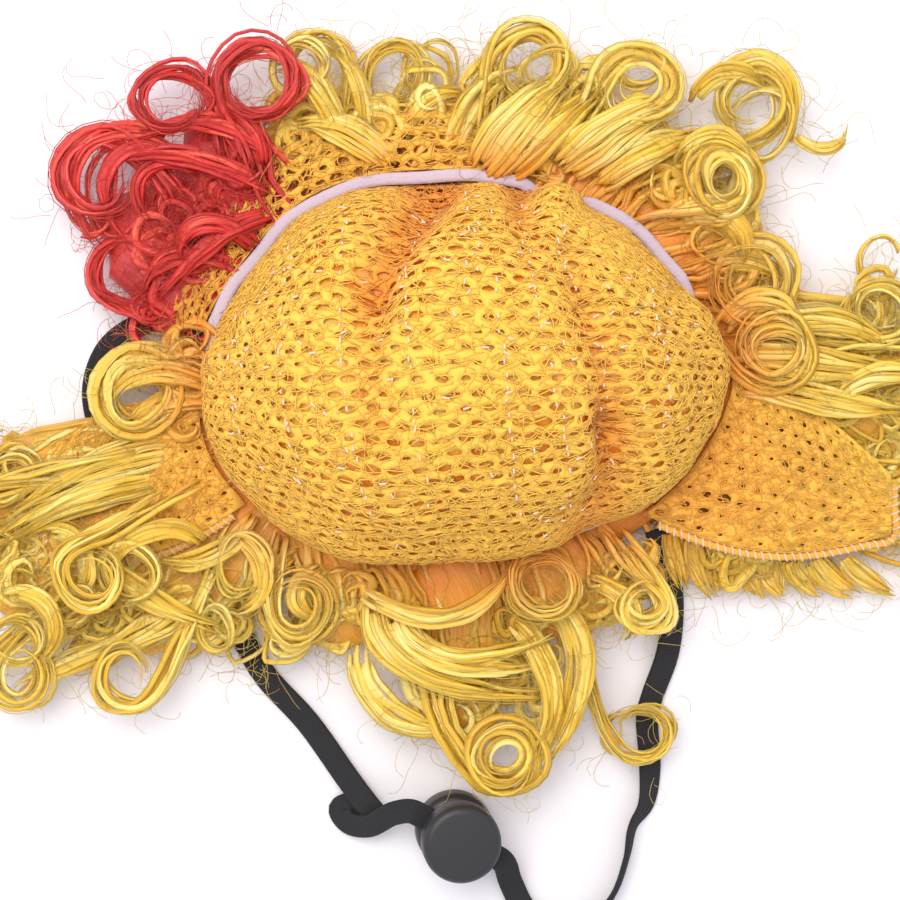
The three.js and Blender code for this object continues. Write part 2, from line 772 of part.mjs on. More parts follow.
function partingLine(parting, shift) {
  const inner = rimPoint(parting.root, -weftWidth, 0);
  const outer = rimPoint(parting.root, weftWidth / 2, 0);
  const far = new THREE.Vector3(parting.x * spreadX, parting.y * spreadY, 0);
  const side = new THREE.Vector3(inner.y - far.y, far.x - inner.x, 0).setLength(shift);
  return [inner, outer, far].map((spot) => spot.clone().add(side));
}

// The room between two partings, down to the floor
function sector(from, to) {
  const first = partingLine(from, drapeGap / 2);
  const second = partingLine(to, -drapeGap / 2);
  const middle = first[2].clone().add(second[2]).setLength(2 * (spreadX + spreadY));
  const plan = [first[0], first[1], first[2], middle, second[2], second[1], second[0]];
  return prism(plan, 0, hairDepth * 2);
}

// The room of the front band with its waves
function bandRoom() {
  const steps = 10;
  const top = (i, j) => bandPoint(i / steps, j, 3 * gap).add(new THREE.Vector3(0, 0, 2 * flapWall));
  const foot = (i, j) => {
    return bandPoint(i / steps, j, 3 * gap).add(new THREE.Vector3(0, 0, -3 * flapWall));
  };
  return toSolid(wallGrid(steps, 1, top, foot));
}

// The room of a flap with its edging: the same sheet, carried on past its edges
const flapRoomSpread = 3.6;

function flapRoom(shape) {
  const place = flapPoint(shape);
  const reach = (2 * edgingRadius + 6 * drapeGap) / flapLength;
  const point = (i, j, up) => {
    const across = shape.way > 0 ? 1 - j / flapRows : j / flapRows;
    const out = -reach + (1 + 2 * reach) * i / flapColumns;
    const spot = place(out, 0.5 + (across - 0.5) * (1 + flapRoomSpread * reach));
    spot.z += up;
    return spot;
  };
  const top = (i, j) => point(i, j, edgingRadius + flapWall / 2 + drapeGap);
  const foot = (i, j) => point(i, j, -flapWall - edgingRadius - 2 * drapeGap);
  return toSolid(wallGrid(flapColumns, flapRows, top, foot));
}

function capRoom() {
  const plan = [];
  for (let k = 0; k < loopSteps; k += 1) {
    plan.push(rimPoint(360 * k / loopSteps, elasticEdge + drapeGap, 0));
  }
  return prism(plan, rimHeight - gap, rimHeight + capRise);
}

const rooms = [
  capRoom(),
  toSolid(strapBar(gap)),
  bandRoom(),
  ...Object.values(flapShapes).map(flapRoom),
];
Object.entries(hairGroups).forEach(([name, shape], k) => {
  const [from, to] = [partings[k], partings[(k + 1) % partings.length]];
  const turn = to.root < from.root ? 360 : 0;
  const weft = weftSolid(from.root, to.root + turn);
  let hair = joined([weft, ...shape.locks.map(lockSolid)]).intersect(sector(from, to));
  for (const room of rooms) {
    hair = hair.subtract(room);
  }
  addPiece(name, toGeometry(mainBody(hair)), shape.finish);
});

export default group;
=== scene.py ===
# %% [markdown]
# # A pet wig, inside out
# A small curly wig lies on a white table with its lining outside. A real one is sewn from
# wefts: strips of fibre with a stitched head, run row by row onto a stretch net cap. Turned
# inside out, the net puffs up as a dome, and the curls spill out from under its rim.
# The plan: repeat the dome's formula to lay a knitted net over it, then comb strands along
# guide lines for each lock, then sweep the elastic, the strap and the cord lock.

import math

import bpy
import numpy as np
from mathutils import Matrix


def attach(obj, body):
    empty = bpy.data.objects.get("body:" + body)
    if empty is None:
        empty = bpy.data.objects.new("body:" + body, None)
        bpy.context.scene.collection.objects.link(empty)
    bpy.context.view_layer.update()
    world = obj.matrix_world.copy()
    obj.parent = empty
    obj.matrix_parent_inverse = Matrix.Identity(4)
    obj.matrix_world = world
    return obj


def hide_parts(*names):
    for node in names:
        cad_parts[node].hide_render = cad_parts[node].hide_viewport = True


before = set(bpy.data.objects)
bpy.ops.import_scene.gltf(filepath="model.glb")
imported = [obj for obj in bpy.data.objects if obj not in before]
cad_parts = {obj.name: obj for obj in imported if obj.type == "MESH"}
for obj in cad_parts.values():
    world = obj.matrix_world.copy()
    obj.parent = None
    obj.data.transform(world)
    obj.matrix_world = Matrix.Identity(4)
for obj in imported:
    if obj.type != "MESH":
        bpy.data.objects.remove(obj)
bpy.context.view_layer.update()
bpy.ops.object.select_all(action="DESELECT")
rng = np.random.default_rng(11)
UP = np.array([0.0, 0.0, 1.0])
print("CAD nodes:", len(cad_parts))

# %% [markdown]
# ## Sizes
# All lengths are in millimetres, and every mesh is scaled to metres once, when it is made.

# %% Sizes
CAP_HALF_WIDTH = 62.5
CAP_HALF_LENGTH = 46.0
CAP_RISE = 46.0
CAP_X = 3.7
CAP_Y = 9.8
RIM_HEIGHT = 12.0
NET_WALL = 1.2
SHEET_START = 3.6
BAND_WIDTH = 15.0
FLAP_LENGTH = 49.0
WEFT_WIDTH = 15.0
LOCK_WIDTH = 16.0
HAIR_DEPTH = 24.0
CURL_RADIUS = 10.0
SPREAD_X = 132.5
SPREAD_Y = 96.0
STRAP_WIDTH = 6.0
STRAP_THICKNESS = 1.2
LOCK_DIAMETER = 19.4
LOCK_HEIGHT = 20.0


def named(columns, table):
    """The rows of a table of numbers, as dicts."""
    keys = columns.split()
    return [dict(zip(keys, map(float, row.split()))) for row in table.strip().splitlines()]


# %% [markdown]
# ## Colours and finishes
# Wig fibre is glossy acrylic: bright where it turns to the light, olive at its edges and
# orange deep in the mass, where light has gone through many fibres. That orange is painted
# shade, put by a mark on each mesh under the rim and low in the mass.

# %% Colours and finishes
def linear(code):
    """A hex sRGB colour as linear RGBA."""
    parts = [int(code[k : k + 2], 16) / 255 for k in (1, 3, 5)]
    return (*[c / 12.92 if c < 0.04045 else ((c + 0.055) / 1.055) ** 2.4 for c in parts], 1.0)


def feed(tree, socket, value):
    """Gives a socket a link from another, a hex colour or a number."""
    if isinstance(value, bpy.types.NodeSocket):
        tree.links.new(value, socket)
    else:
        socket.default_value = linear(value) if isinstance(value, str) else value


def add_node(tree, kind, values=None, **settings):
    """A shader node with its settings, and what goes into some of its inputs."""
    node = tree.nodes.new(kind)
    for key, value in settings.items():
        setattr(node, key, value)
    for key, value in (values or {}).items():
        feed(tree, node.inputs[key], value)
    return node


def finish_of(name, values):
    """A new Principled material: itself, its tree and its shader."""
    material = bpy.data.materials.new(name)
    material.use_nodes = True
    tree = material.node_tree
    shader = tree.nodes["Principled BSDF"]
    for key, value in values.items():
        feed(tree, shader.inputs[key], value)
    return material, tree, shader


def mix(tree, factor, first, second):
    """first turns to second as factor goes to 1."""
    values = {0: factor, 6: first, 7: second}
    return add_node(tree, "ShaderNodeMix", values, data_type="RGBA").outputs[2]


def ramp(tree, factor, stops):
    """A colour ramp with stops of (place, hex colour)."""
    node = add_node(tree, "ShaderNodeValToRGB", {"Fac": factor})
    while len(node.color_ramp.elements) < len(stops):
        node.color_ramp.elements.new(0.5)
    for element, (place, code) in zip(node.color_ramp.elements, stops):
        element.position = place
        element.color = linear(code)
    return node.outputs["Color"]


def marks_of(tree):
    """The tone and the warmth that each mesh carries; the warmth is mostly painted shade."""
    marks = add_node(tree, "ShaderNodeAttribute", attribute_name="marks")
    parts = add_node(tree, "ShaderNodeSeparateColor", {"Color": marks.outputs["Color"]})
    return parts.outputs["Red"], parts.outputs["Blue"]


def bump(tree, shader, height, strength, distance):
    values = {"Height": height, "Strength": strength, "Distance": distance}
    node = add_node(tree, "ShaderNodeBump", values)
    tree.links.new(node.outputs["Normal"], shader.inputs["Normal"])


def noise(tree, scale, detail=3.0, place=None):
    place = place or add_node(tree, "ShaderNodeTexCoord").outputs["Object"]
    values = {"Vector": place, "Scale": scale, "Detail": detail}
    return add_node(tree, "ShaderNodeTexNoise", values).outputs["Fac"]


def calc(tree, operation, *values, clamp=False):
    """A maths node of sockets or numbers."""
    inputs = dict(enumerate(values))
    node = add_node(tree, "ShaderNodeMath", inputs, operation=operation, use_clamp=clamp)
    return node.outputs["Value"]


def combed_streaks(tree, across, along):
    """Fine streaks along the strands, 0 to 1."""
    comb = add_node(tree, "ShaderNodeAttribute", attribute_name="comb").outputs["Vector"]
    values = {0: comb, 1: (across, along, 1.0)}
    scaled = add_node(tree, "ShaderNodeVectorMath", values, operation="MULTIPLY")
    return noise(tree, 1.0, 3.0, scaled.outputs["Vector"])


def fibre(name, stops, deep, roughness=0.28):
    """Wig fibre: stops give its tones, deep the orange of its painted shade inside the mass."""
    values = {"Roughness": roughness, "Specular IOR Level": 0.6}
    material, tree, shader = finish_of(name, values)
    tone, warmth = marks_of(tree)
    fine = calc(tree, "MULTIPLY", combed_streaks(tree, 6.5, 0.06), 0.55)
    streaks = calc(tree, "MULTIPLY_ADD", combed_streaks(tree, 2.4, 0.05), 0.45, fine)
    contrast = calc(tree, "MULTIPLY_ADD", streaks, 2.6, -1.3)
    tone = calc(tree, "ADD", tone, contrast, clamp=True)
    broad = calc(tree, "MULTIPLY_ADD", combed_streaks(tree, 0.9, 0.04), 0.8, -0.4)
    warmth = calc(tree, "ADD", warmth, broad, clamp=True)
    # Painted shade: the tone turns to the deep orange as far as the warmth mark says.
    color = mix(tree, warmth, ramp(tree, tone, stops), deep)
    tree.links.new(color, shader.inputs["Base Color"])
    bump(tree, shader, streaks, 0.8, 0.0006)
    return material


yellow_fibre = fibre(
    "yellow wig fibre",
    [(0.0, "#C0962A"), (0.3, "#E3B531"), (0.65, "#F7D247"), (1.0, "#FFEE8E")],
    "#F5922A",
)
crown_fibre = fibre(
    "crown wig fibre",
    [(0.0, "#FFB03A"), (0.4, "#FFCB48"), (1.0, "#FFE87A")],
    "#FF8A2A",
)
red_fibre = fibre(
    "red wig fibre",
    [(0.0, "#A81C1E"), (0.4, "#D42C2A"), (0.8, "#EE3C32"), (1.0, "#FF6A50")],
    "#C02424",
)


def yarn(name, light, deep, roughness=0.72, grain=1400.0, sheen=0.2):
    """Soft knitted yarn: light on the yarn, deep in the folds as painted shade."""
    values = {"Roughness": roughness, "Sheen Weight": sheen}
    material, tree, shader = finish_of(name, values)
    grains = noise(tree, grain, 6.0)
    flecked = mix(tree, 0.3, light, mix(tree, grains, light, deep))
    # Painted shade on the net: the yarn turns to its deep colour as far as its warmth mark says.
    color = mix(tree, marks_of(tree)[1], flecked, deep)
    tree.links.new(color, shader.inputs["Base Color"])
    bump(tree, shader, grains, 0.6, 0.0004)
    return material


# The net's deep orange is the colour of its painted shade in the folds and at the rim.
net_yarn = yarn("net yarn", "#FFD54E", "#F59C30", 0.6, 2600.0, 0.15)
pale_elastic = yarn("pale elastic", "#D6C8D4", "#BFA0AC")
edging_thread = yarn("overlock thread", "#F2D6C2", "#F0B03C")
seam_thread = yarn("weft seam thread", "#F6DEC8", "#E8B890")
black_elastic = yarn("black elastic", "#272729", "#161618", 0.85, 1800.0, 0.0)


def plastic():
    values = {"Roughness": 0.42, "Base Color": "#2A2A2C"}
    material, tree, shader = finish_of("black moulded plastic", values)
    bump(tree, shader, noise(tree, 2600.0), 0.08, 0.0002)
    return material


black_plastic = plastic()
print("materials:", len(bpy.data.materials))


# %% [markdown]
# ## Meshes from arrays
# Thousands of small strands are one joined mesh a piece, built from numpy arrays. A part is
# its points, its faces and its marks; `joined` joins parts, and `piece` makes a mesh of one and
# puts it in the frame.

# %% Meshes from arrays
def unit(vectors):
    return vectors / np.maximum(np.linalg.norm(vectors, axis=-1, keepdims=True), 1e-9)


def with_marks(points, faces, tone=0.5, along=0.5, warmth=0.0, comb=None):
    """A part: its points, its face arrays, its marks and where it is combed. The marks are
    tone, place along the strand and warmth, as red, green and blue. The comb gives the
    millimetres across and along the strand, and a number of its own."""
    # The warmth mark is mostly painted shade: orange in the net's folds, under the rim and low in
    # the hair.
    marks = np.ones((len(points), 4))
    for column, value in enumerate((tone, along, warmth)):
        marks[:, column] = np.clip(value, 0, 1)
    return points, faces, marks, np.zeros((len(points), 3)) if comb is None else comb


def joined(parts):
    """Several parts as one."""
    points, all_faces, marks, combs = zip(*parts)
    faces = []
    start = 0
    for spots, polygons in zip(points, all_faces):
        faces += [polygon + start for polygon in polygons]
        start += len(spots)
    return np.concatenate(points), faces, np.concatenate(marks), np.concatenate(combs)


def make(name, part, material, smooth=True):
    """A mesh object of a part, in metres."""
    points, faces, marks, comb = part
    mesh = bpy.data.meshes.new(name)
    mesh.vertices.add(len(points))
    mesh.vertices.foreach_set("co", (points * 0.001).astype(np.float32).ravel())
    corners = np.concatenate([polygon.ravel() for polygon in faces])
    sizes = np.concatenate([np.full(len(polygon), polygon.shape[1]) for polygon in faces])
    mesh.loops.add(len(corners))
    mesh.loops.foreach_set("vertex_index", corners.astype(np.int32))
    mesh.polygons.add(len(sizes))
    starts = np.concatenate([[0], np.cumsum(sizes)[:-1]])
    mesh.polygons.foreach_set("loop_start", starts.astype(np.int32))
    mesh.polygons.foreach_set("use_smooth", np.full(len(sizes), smooth))
    layer = mesh.attributes.new("marks", "FLOAT_COLOR", "POINT")
    layer.data.foreach_set("color", marks.astype(np.float32).ravel())
    layer = mesh.attributes.new("comb", "FLOAT_VECTOR", "POINT")
    layer.data.foreach_set("vector", comb.astype(np.float32).ravel())
    mesh.update(calc_edges=True)
    mesh.validate()
    mesh.materials.append(material)
    thing = bpy.data.objects.new(name, mesh)
    bpy.context.scene.collection.objects.link(thing)
    return thing


def triangles(thing):
    return sum(len(face.vertices) - 2 for face in thing.data.polygons)


def shown(thing, node=None):
    """Rides a piece on the root and hides its CAD node, if it is given one."""
    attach(thing, "root")
    if node:
        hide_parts(node)
    print(thing.name, triangles(thing), "triangles")
    return thing


def piece(name, part, material, node=None):
    return shown(make(name, part, material), node)


def turned_sides(path, tilt):
    """The side and the rise at each point of paths, tilted by an angle about the path."""
    along = unit(np.gradient(path, axis=-2))
    side = unit(np.cross(UP, along) + 1e-6)
    rise = np.cross(along, side)
    turn = np.asarray(tilt)[..., None]
    return (
        np.cos(turn) * side + np.sin(turn) * rise,
        np.cos(turn) * rise - np.sin(turn) * side,
    )


def tube_faces(strands, steps, corners):
    """Faces of closed bars, where each step along a strand is a ring of corners."""
    index = np.arange(strands * steps * corners).reshape(strands, steps, corners)
    after = np.roll(index, -1, axis=2)
    around = np.stack([index[:, :-1], after[:, :-1], after[:, 1:], index[:, 1:]], axis=-1)
    return [around.reshape(-1, 4), index[:, 0, ::-1].copy(), index[:, -1].copy()]


def swept(paths, section, width, height, tilt=0.0, tone=0.5, warmth=0.0):
    """Closed bars along many paths at once. paths is strands x steps x 3; section gives the
    corners, counter-clockwise. width, height, tone and warmth are strands x steps or less."""
    strands, steps = paths.shape[:2]
    shape = (strands, steps)
    side, rise = turned_sides(paths, np.broadcast_to(tilt, shape))
    wide = np.broadcast_to(width, shape)[:, :, None, None]
    high = np.broadcast_to(height, shape)[:, :, None, None]
    corners = np.asarray(section, float)
    points = (
        paths[:, :, None, :]
        + side[:, :, None, :] * corners[:, 0, None] * wide
        + rise[:, :, None, :] * corners[:, 1, None] * high
    )
    n = len(corners)
    values = (tone, np.linspace(0, 1, steps), warmth)
    marks = [np.repeat(np.broadcast_to(value, shape).ravel(), n) for value in values]
    gone = np.linalg.norm(np.diff(paths, axis=1), axis=2)
    gone = np.concatenate([np.zeros((strands, 1)), np.cumsum(gone, axis=1)], axis=1)
    comb = np.zeros((strands, steps, n, 3))
    comb[..., 0] = corners[:, 0] * wide[..., 0] + corners[:, 1] * 0.7
    comb[..., 1] = gone[..., None]
    comb[..., 2] = rng.uniform(0, 900, (strands, 1, 1))
    faces = tube_faces(strands, steps, n)
    return with_marks(points.reshape(-1, 3), faces, *marks, comb.reshape(-1, 3))


def ellipse(count):
    """Corners of a round section."""
    turn = np.arange(count) / count * 2 * np.pi
    return np.stack([np.cos(turn), np.sin(turn)], axis=1)


RIBBON = [(-1.0, -0.4), (1.0, -0.4), (0.0, 0.8)]


def smooth_path(spots, each):
    """A centripetal Catmull-Rom curve through spots, with that many points a stretch."""
    spots = np.asarray(spots, float)
    ends = [2 * spots[:1] - spots[1:2], spots, 2 * spots[-1:] - spots[-2:-1]]
    spots = np.concatenate(ends)
    t = (np.arange(each) / each)[:, None]
    path = []
    for a, b, c, d in zip(spots, spots[1:], spots[2:], spots[3:]):
        ab, bc, cd = [max(np.linalg.norm(q - p), 1e-6) ** 0.5 for p, q in ((a, b), (b, c), (c, d))]
        start = ((b - a) / ab - (c - a) / (ab + bc) + (c - b) / bc) * bc
        stop = ((c - b) / bc - (d - b) / (bc + cd) + (d - c) / cd) * bc
        square = -3 * b + 3 * c - 2 * start - stop
        cube = 2 * b - 2 * c + start + stop
        path.append(b + start * t + square * t**2 + cube * t**3)
    return np.concatenate([*path, spots[-2:-1]])


def steps_of(path):
    return np.linalg.norm(np.diff(path, axis=0), axis=1)


def reach_of(path):
    """How far along a path each of its points lies."""
    return np.concatenate([[0], np.cumsum(steps_of(path))])


def evenly(path, count):
    """That many points along a path, all the same way apart."""
    reach = reach_of(path)
    want = np.linspace(0, reach[-1], count)
    return np.stack([np.interp(want, reach, path[:, k]) for k in range(3)], axis=1)


def length_of(path):
    return float(steps_of(path).sum())


# %% [markdown]
# ## The dome
# The cap is egg-shaped from above, with a few deep folds where the net has sunk in and soft
# bulges where the hair inside pushes it up. Every piece on the dome asks the same formula.

# %% The dome
OUTLINE = np.array([1, 0.95, 0.99, 1, 1.045, 0.985, 1, 1.05, 1.08, 0.98, 0.97, 0.975])
PLEAT_COUNT = 22
PLEAT_DEPTH = 0.022
PUFF = 2.6
FOLDS = named(
    "x0 y0 x1 y1 x2 y2 depth width end",
    """
        -0.12 0.98 -0.24 0.72 -0.36 0.4 0.2 0.1 0.5
        -0.36 0.42 -0.36 0.1 -0.35 -0.4 0.09 0.07 0.3
        -0.55 0.55 -0.6 0.2 -0.55 -0.3 -0.05 0.16 0.5
        0.22 0.95 0.23 0.7 0.25 0.3 0.11 0.07 0
        0.33 0.85 0.32 0.6 0.36 0.3 -0.05 0.08 0
        0.36 0.6 0.52 0.1 0.57 -0.4 0.06 0.07 1.4
        0.57 -0.35 0.6 -0.65 0.44 -0.85 0.12 0.08 0.6
        0.8 -0.2 0.78 -0.5 0.68 -0.72 -0.04 0.12 0.6
        -0.1 0.4 -0.08 0 -0.05 -0.5 -0.03 0.16 0.6
    """,
)


def outline_share(angle):
    """Share of the half sizes at an angle in radians, eased between 30 degree stops."""
    place = np.mod(np.degrees(angle), 360) / 30
    k = np.floor(place).astype(int)
    ease = (1 - np.cos((place - k) * np.pi)) / 2
    return OUTLINE[k % 12] * (1 - ease) + OUTLINE[(k + 1) % 12] * ease


def rim_point(degrees, out, z):
    """Points round the rim, so far out from it."""
    angle = np.radians(degrees)
    share = outline_share(angle)
    x = CAP_X + (CAP_HALF_WIDTH * share + out) * np.cos(angle)
    y = CAP_Y + (CAP_HALF_LENGTH * share + out) * np.sin(angle)
    return np.stack(np.broadcast_arrays(x, y, z), axis=-1)


def fold_depth(x, y, widening=1.0):
    """How deep the folds are at a place on the plan, in millimetres."""
    depth = np.zeros(np.shape(x))
    for fold in FOLDS:
        best = np.full(np.shape(x), 1e9)
        at = np.zeros(np.shape(x))
        for t in np.linspace(0, 1, 11):
            u = 1 - t
            px = u * u * fold["x0"] + 2 * u * t * fold["x1"] + t * t * fold["x2"]
            py = u * u * fold["y0"] + 2 * u * t * fold["y1"] + t * t * fold["y2"]
            far = np.hypot(x - px, (y - py) * CAP_HALF_LENGTH / CAP_HALF_WIDTH)
            at = np.where(far < best, t, at)
            best = np.minimum(far, best)
        wide = fold["width"] * (widening if fold["depth"] > 0 else 1)
        depth += fold["depth"] * (1 + (fold["end"] - 1) * at) * np.exp(-((best / wide) ** 2))
    return depth * CAP_RISE


def on_plan(x, y):
    """For a place in the unit disc: its ring, angle, outline share and climb up the dome, and
    its place on the plan in shares of the half sizes."""
    ring = np.minimum(1, np.hypot(x, y))
    angle = np.arctan2(y, x)
    climb = ring * np.pi / 2
    plan_x, plan_y = np.sin(climb) * np.cos(angle), np.sin(climb) * np.sin(angle)
    return ring, angle, outline_share(angle), climb, plan_x, plan_y


def dome(x, y, inset, widening=1.0):
    """Points of the dome. x and y lie in the unit disc, from its top to its rim."""
    ring, angle, share, climb, plan_x, plan_y = on_plan(x, y)
    pleat = CAP_RISE * PLEAT_DEPTH * ring**4 * (1 - np.cos(PLEAT_COUNT * angle)) / 2
    fold = (fold_depth(plan_x * share, plan_y * share, widening) + pleat) * (1 - ring**8)
    sunk = inset + fold
    puff = PUFF * tucked(np.degrees(angle)) * np.sin(np.pi * np.clip(ring - 0.7, 0, 0.3) / 0.3)
    return np.stack(
        [
            CAP_X + (CAP_HALF_WIDTH * share - sunk + puff) * plan_x,
            CAP_Y + (CAP_HALF_LENGTH * share - sunk + puff) * plan_y,
            RIM_HEIGHT + (CAP_RISE - sunk) * np.cos(climb),
        ],
        axis=-1,
    )


def tucked(degrees):
    """1 where the dome hangs over its rim, 0 where the elastic shows: front and front right."""
    a = np.mod(degrees, 360)
    from_right = np.clip((a - 18) / 12, 0, 1)
    to_left = np.clip((178 - a) / 10, 0, 1)
    between = np.exp(-(((a - 69) / 6.5) ** 4))
    return np.maximum(1 - np.where(a < 100, from_right, to_left), between)


def squared(across, along):
    """A place in the square from -1 to 1 as a place in the unit disc."""
    return across * np.sqrt(1 - along**2 / 2), along * np.sqrt(1 - across**2 / 2)


def fold_and_rim_shade(x, y):
    """Painted shade: 0 on the bulges, towards 1 down in the folds and out at the rim."""
    ring, _, share, _, plan_x, plan_y = on_plan(x, y)
    deep = fold_depth(plan_x * share, plan_y * share)
    return np.clip(deep / 6.5, -0.1, 0.8) + 0.35 * ring**6


# %% [markdown]
# ## Knitted net
# The cap is a warp knit: fine columns of loops that lean to one neighbour and then the other,
# so that staggered oval holes open between them. A hole is an oval in a six-sided cell, thin
# at its edge and thick where yarns meet. A few loose filaments soften every yarn.

# %% Knitted net
CELL_ANGLES = np.radians([217, 243, 270, 297, 323, 360, 397, 423, 450, 477, 503, 540])
CELL_SPOTS = [(0, 0), (1, 0), (2, 0), (2, 1), (1, 1), (0, 1)]
LEAN = 0.17
HOLE_LIMITS = (0.28, 1.18)
YARN_THICKNESS = 0.5
HOLE_EDGE_THICKNESS = 0.14


def thick_sheet(top, bottom, faces):
    """Closes two faces of a sheet along all their free edges, those of the holes too."""
    count = len(top)
    edges = np.concatenate([faces[:, [0, 1]], faces[:, [1, 2]], faces[:, [2, 0]]])
    keys = edges[:, 0] * count + edges[:, 1]
    free = edges[~np.isin(keys, edges[:, 1] * count + edges[:, 0])]
    a, b = free[:, 0], free[:, 1]
    walls = np.stack([b, a, a + count, b + count], axis=1)
    return np.concatenate([top, bottom]), [faces, faces[:, ::-1] + count, walls]


def net_cells(columns, rows):
    """Corners, six-sided cells and side triangles of a net on the unit square."""
    k, r = np.meshgrid(np.arange(2 * columns + 1), np.arange(rows + 1), indexing="ij")
    zigzag = np.where((k + r) % 2 == 0, LEAN, -LEAN) * ((r > 0) & (r < rows))
    corners = np.stack([k / (2 * columns), (r + zigzag) / rows], axis=-1).reshape(-1, 2)
    index = np.arange(len(corners)).reshape(2 * columns + 1, rows + 1)
    cells = []
    halves = []
    for row in range(rows):
        first = row % 2
        for start in range(first, 2 * columns - 1, 2):
            cells.append([index[start + i, row + j] for i, j in CELL_SPOTS])
        if first:
            for start in (0, 2 * columns - 1):
                quad = [index[start + i, row + j] for i, j in ((0, 0), (1, 0), (1, 1), (0, 1))]
                halves += [[quad[0], quad[1], quad[2]], [quad[0], quad[2], quad[3]]]
    return corners, np.array(cells), np.array(halves, int).reshape(-1, 3)


def net_part(columns, rows, place, painted_shade, hole=(0.39, 0.29), spread=None, vary=0.17):
    """A net over place(u, v, height), where height is up from the middle of the cloth."""
    corners, cells, halves = net_cells(columns, rows)
    corners = corners + np.where(
        (corners > 0) & (corners < 1), rng.normal(0, 0.07, corners.shape), 0
    ) / [columns, rows]
    middle = corners[cells].mean(axis=1)
    size = 1 + vary * rng.standard_normal((len(cells), 1))
    size *= 1 + 0.12 * np.sin(middle[:, :1] * 21 + 2) * np.sin(middle[:, 1:] * 17 + 1)
    if spread is not None:
        size *= spread(middle[:, 0], middle[:, 1])[:, None]
    size = np.clip(size, *HOLE_LIMITS)
    reach = np.array([hole[0] / columns, hole[1] / rows])
    ring = np.stack([np.cos(CELL_ANGLES), np.sin(CELL_ANGLES)], axis=-1) * reach
    ring = ring[None] * size[:, :, None] * (1 + 0.08 * rng.standard_normal((len(cells), 12, 1)))
    rings = (middle[:, None] + ring).reshape(-1, 2)
    start = len(corners) + 12 * np.arange(len(cells))[:, None]
    faces = [halves]
    for i in range(6):
        b, b_next = cells[:, i], cells[:, (i + 1) % 6]
        r0, r1, r2 = [(start + (2 * i + n) % 12)[:, 0] for n in (0, 1, 2)]
        faces += [np.stack(t, axis=1) for t in ((b, b_next, r1), (b, r1, r0), (b_next, r2, r1))]
    faces = np.concatenate(faces)
    spots = np.concatenate([corners, rings])
    counts = (len(corners), len(rings))
    thick = np.repeat([YARN_THICKNESS, HOLE_EDGE_THICKNESS], counts) * NET_WALL
    thick[: len(corners)] *= 1 + 0.12 * rng.standard_normal(len(corners))
    u, v = spots.T
    points, polygons = thick_sheet(place(u, v, thick), place(u, v, -thick), faces)
    # The warmth mark carries the painted shade of the net.
    warmth = np.tile(painted_shade(u, v), 2)
    tone = np.tile(rng.random(len(spots)), 2)
    return with_marks(points, polygons, tone, warmth=warmth), corners, cells


def filaments(corners, cells, place, painted_shade, each, width=0.17):
    """Loose filaments along the yarns: up, and along both slants of every cell."""
    slants = np.concatenate([cells[:, [0, 1]], cells[:, [1, 2]]])
    ends = np.concatenate([np.repeat(slants, each, axis=0), cells[:, [0, 5]]])
    a, b = corners[ends[:, 0]], corners[ends[:, 1]]
    pitch = np.abs(b - a).max(axis=0)
    steps = 3
    t = np.linspace(-0.3, 1.3, steps)[None, :, None]
    line = a[:, None] + (b - a)[:, None] * t
    line += rng.normal(0, 0.3, (len(a), 1, 2)) * pitch
    line += rng.normal(0, 0.13, (len(a), steps, 2)) * pitch
    u, v = np.clip(line[..., 0], 0, 1), np.clip(line[..., 1], 0, 1)
    high = NET_WALL * 0.5 + rng.uniform(-0.15, 0.2, (len(a), 1)) + rng.uniform(0, 0.22, u.shape)
    # The filaments carry the net's painted shade, a little weaker.
    return swept(
        place(u, v, high),
        RIBBON,
        width,
        width,
        tone=rng.random((len(a), 1)),
        warmth=painted_shade(u, v) * 0.8,
    )


def on_dome(u, v, high):
    x, y = squared(2 * u - 1, 2 * v - 1)
    ripple = 0.35 * np.sin(x * 23 + 3 * y) * np.sin(y * 19 + 1)
    return dome(x, y, NET_WALL / 2 - high - ripple * (1 - np.hypot(x, y) ** 4).clip(0))


# Painted shade of the net, from its folds and its rim.
def dome_shade(u, v):
    return fold_and_rim_shade(*squared(2 * u - 1, 2 * v - 1))


# Where the net is pushed up and its holes close: place in shares of the disc, and reach
BULGES = named("x y reach", "-0.6 0.02 0.27\n 0.0 0.02 0.22\n 0.5 0.42 0.26")


def hole_spread(u, v):
    """Share that the holes keep: less on the bulges."""
    x, y = squared(2 * u - 1, 2 * v - 1)
    shut = sum(np.exp(-(np.hypot(x - b["x"], y - b["y"]) / b["reach"]) ** 2) for b in BULGES)
    return 1.0 - 0.5 * np.clip(shut, 0, 1)


CAP_COLUMNS = 36
CAP_ROWS = 41
cap_part, cap_corners, cap_cells = net_part(
    CAP_COLUMNS, CAP_ROWS, on_dome, dome_shade, spread=hole_spread
)
cap_fuzz = filaments(cap_corners, cap_cells, on_dome, dome_shade, 2)
cap_net = piece("knitted_cap", cap_part, net_yarn, "cap_net")
piece("knitted_cap_fuzz", cap_fuzz, net_yarn)

# %% [markdown]
# ## Seams of the wefts
# Each weft is zigzagged to the net with pale thread, which shows as rows of short dashes.

# %% Seams of the wefts
SEAMS = [
    [(3, 54), (4, 44), (6, 29)],
    [(17, 52), (18, 36), (20, 20), (23, 7), (26, -8), (28, -20), (29, -28)],
    [(24, 40), (30, 27), (36, 14), (37, 3), (39, -10), (41, -16)],
    [(-36, 38), (-38, 20), (-38, 2), (-34, -16)],
    [(-24, 44), (-25, 26), (-24, 8), (-21, -12), (-18, -26)],
    [(-9, 46), (-10, 30), (-9, 12), (-7, -8), (-4, -24)],
    [(46, 34), (48, 20), (50, 8), (48, -6)],
    [(10, 30), (12, 12), (14, -8), (16, -26)],
    [(-50, 22), (-52, 6), (-49, -8)],
]


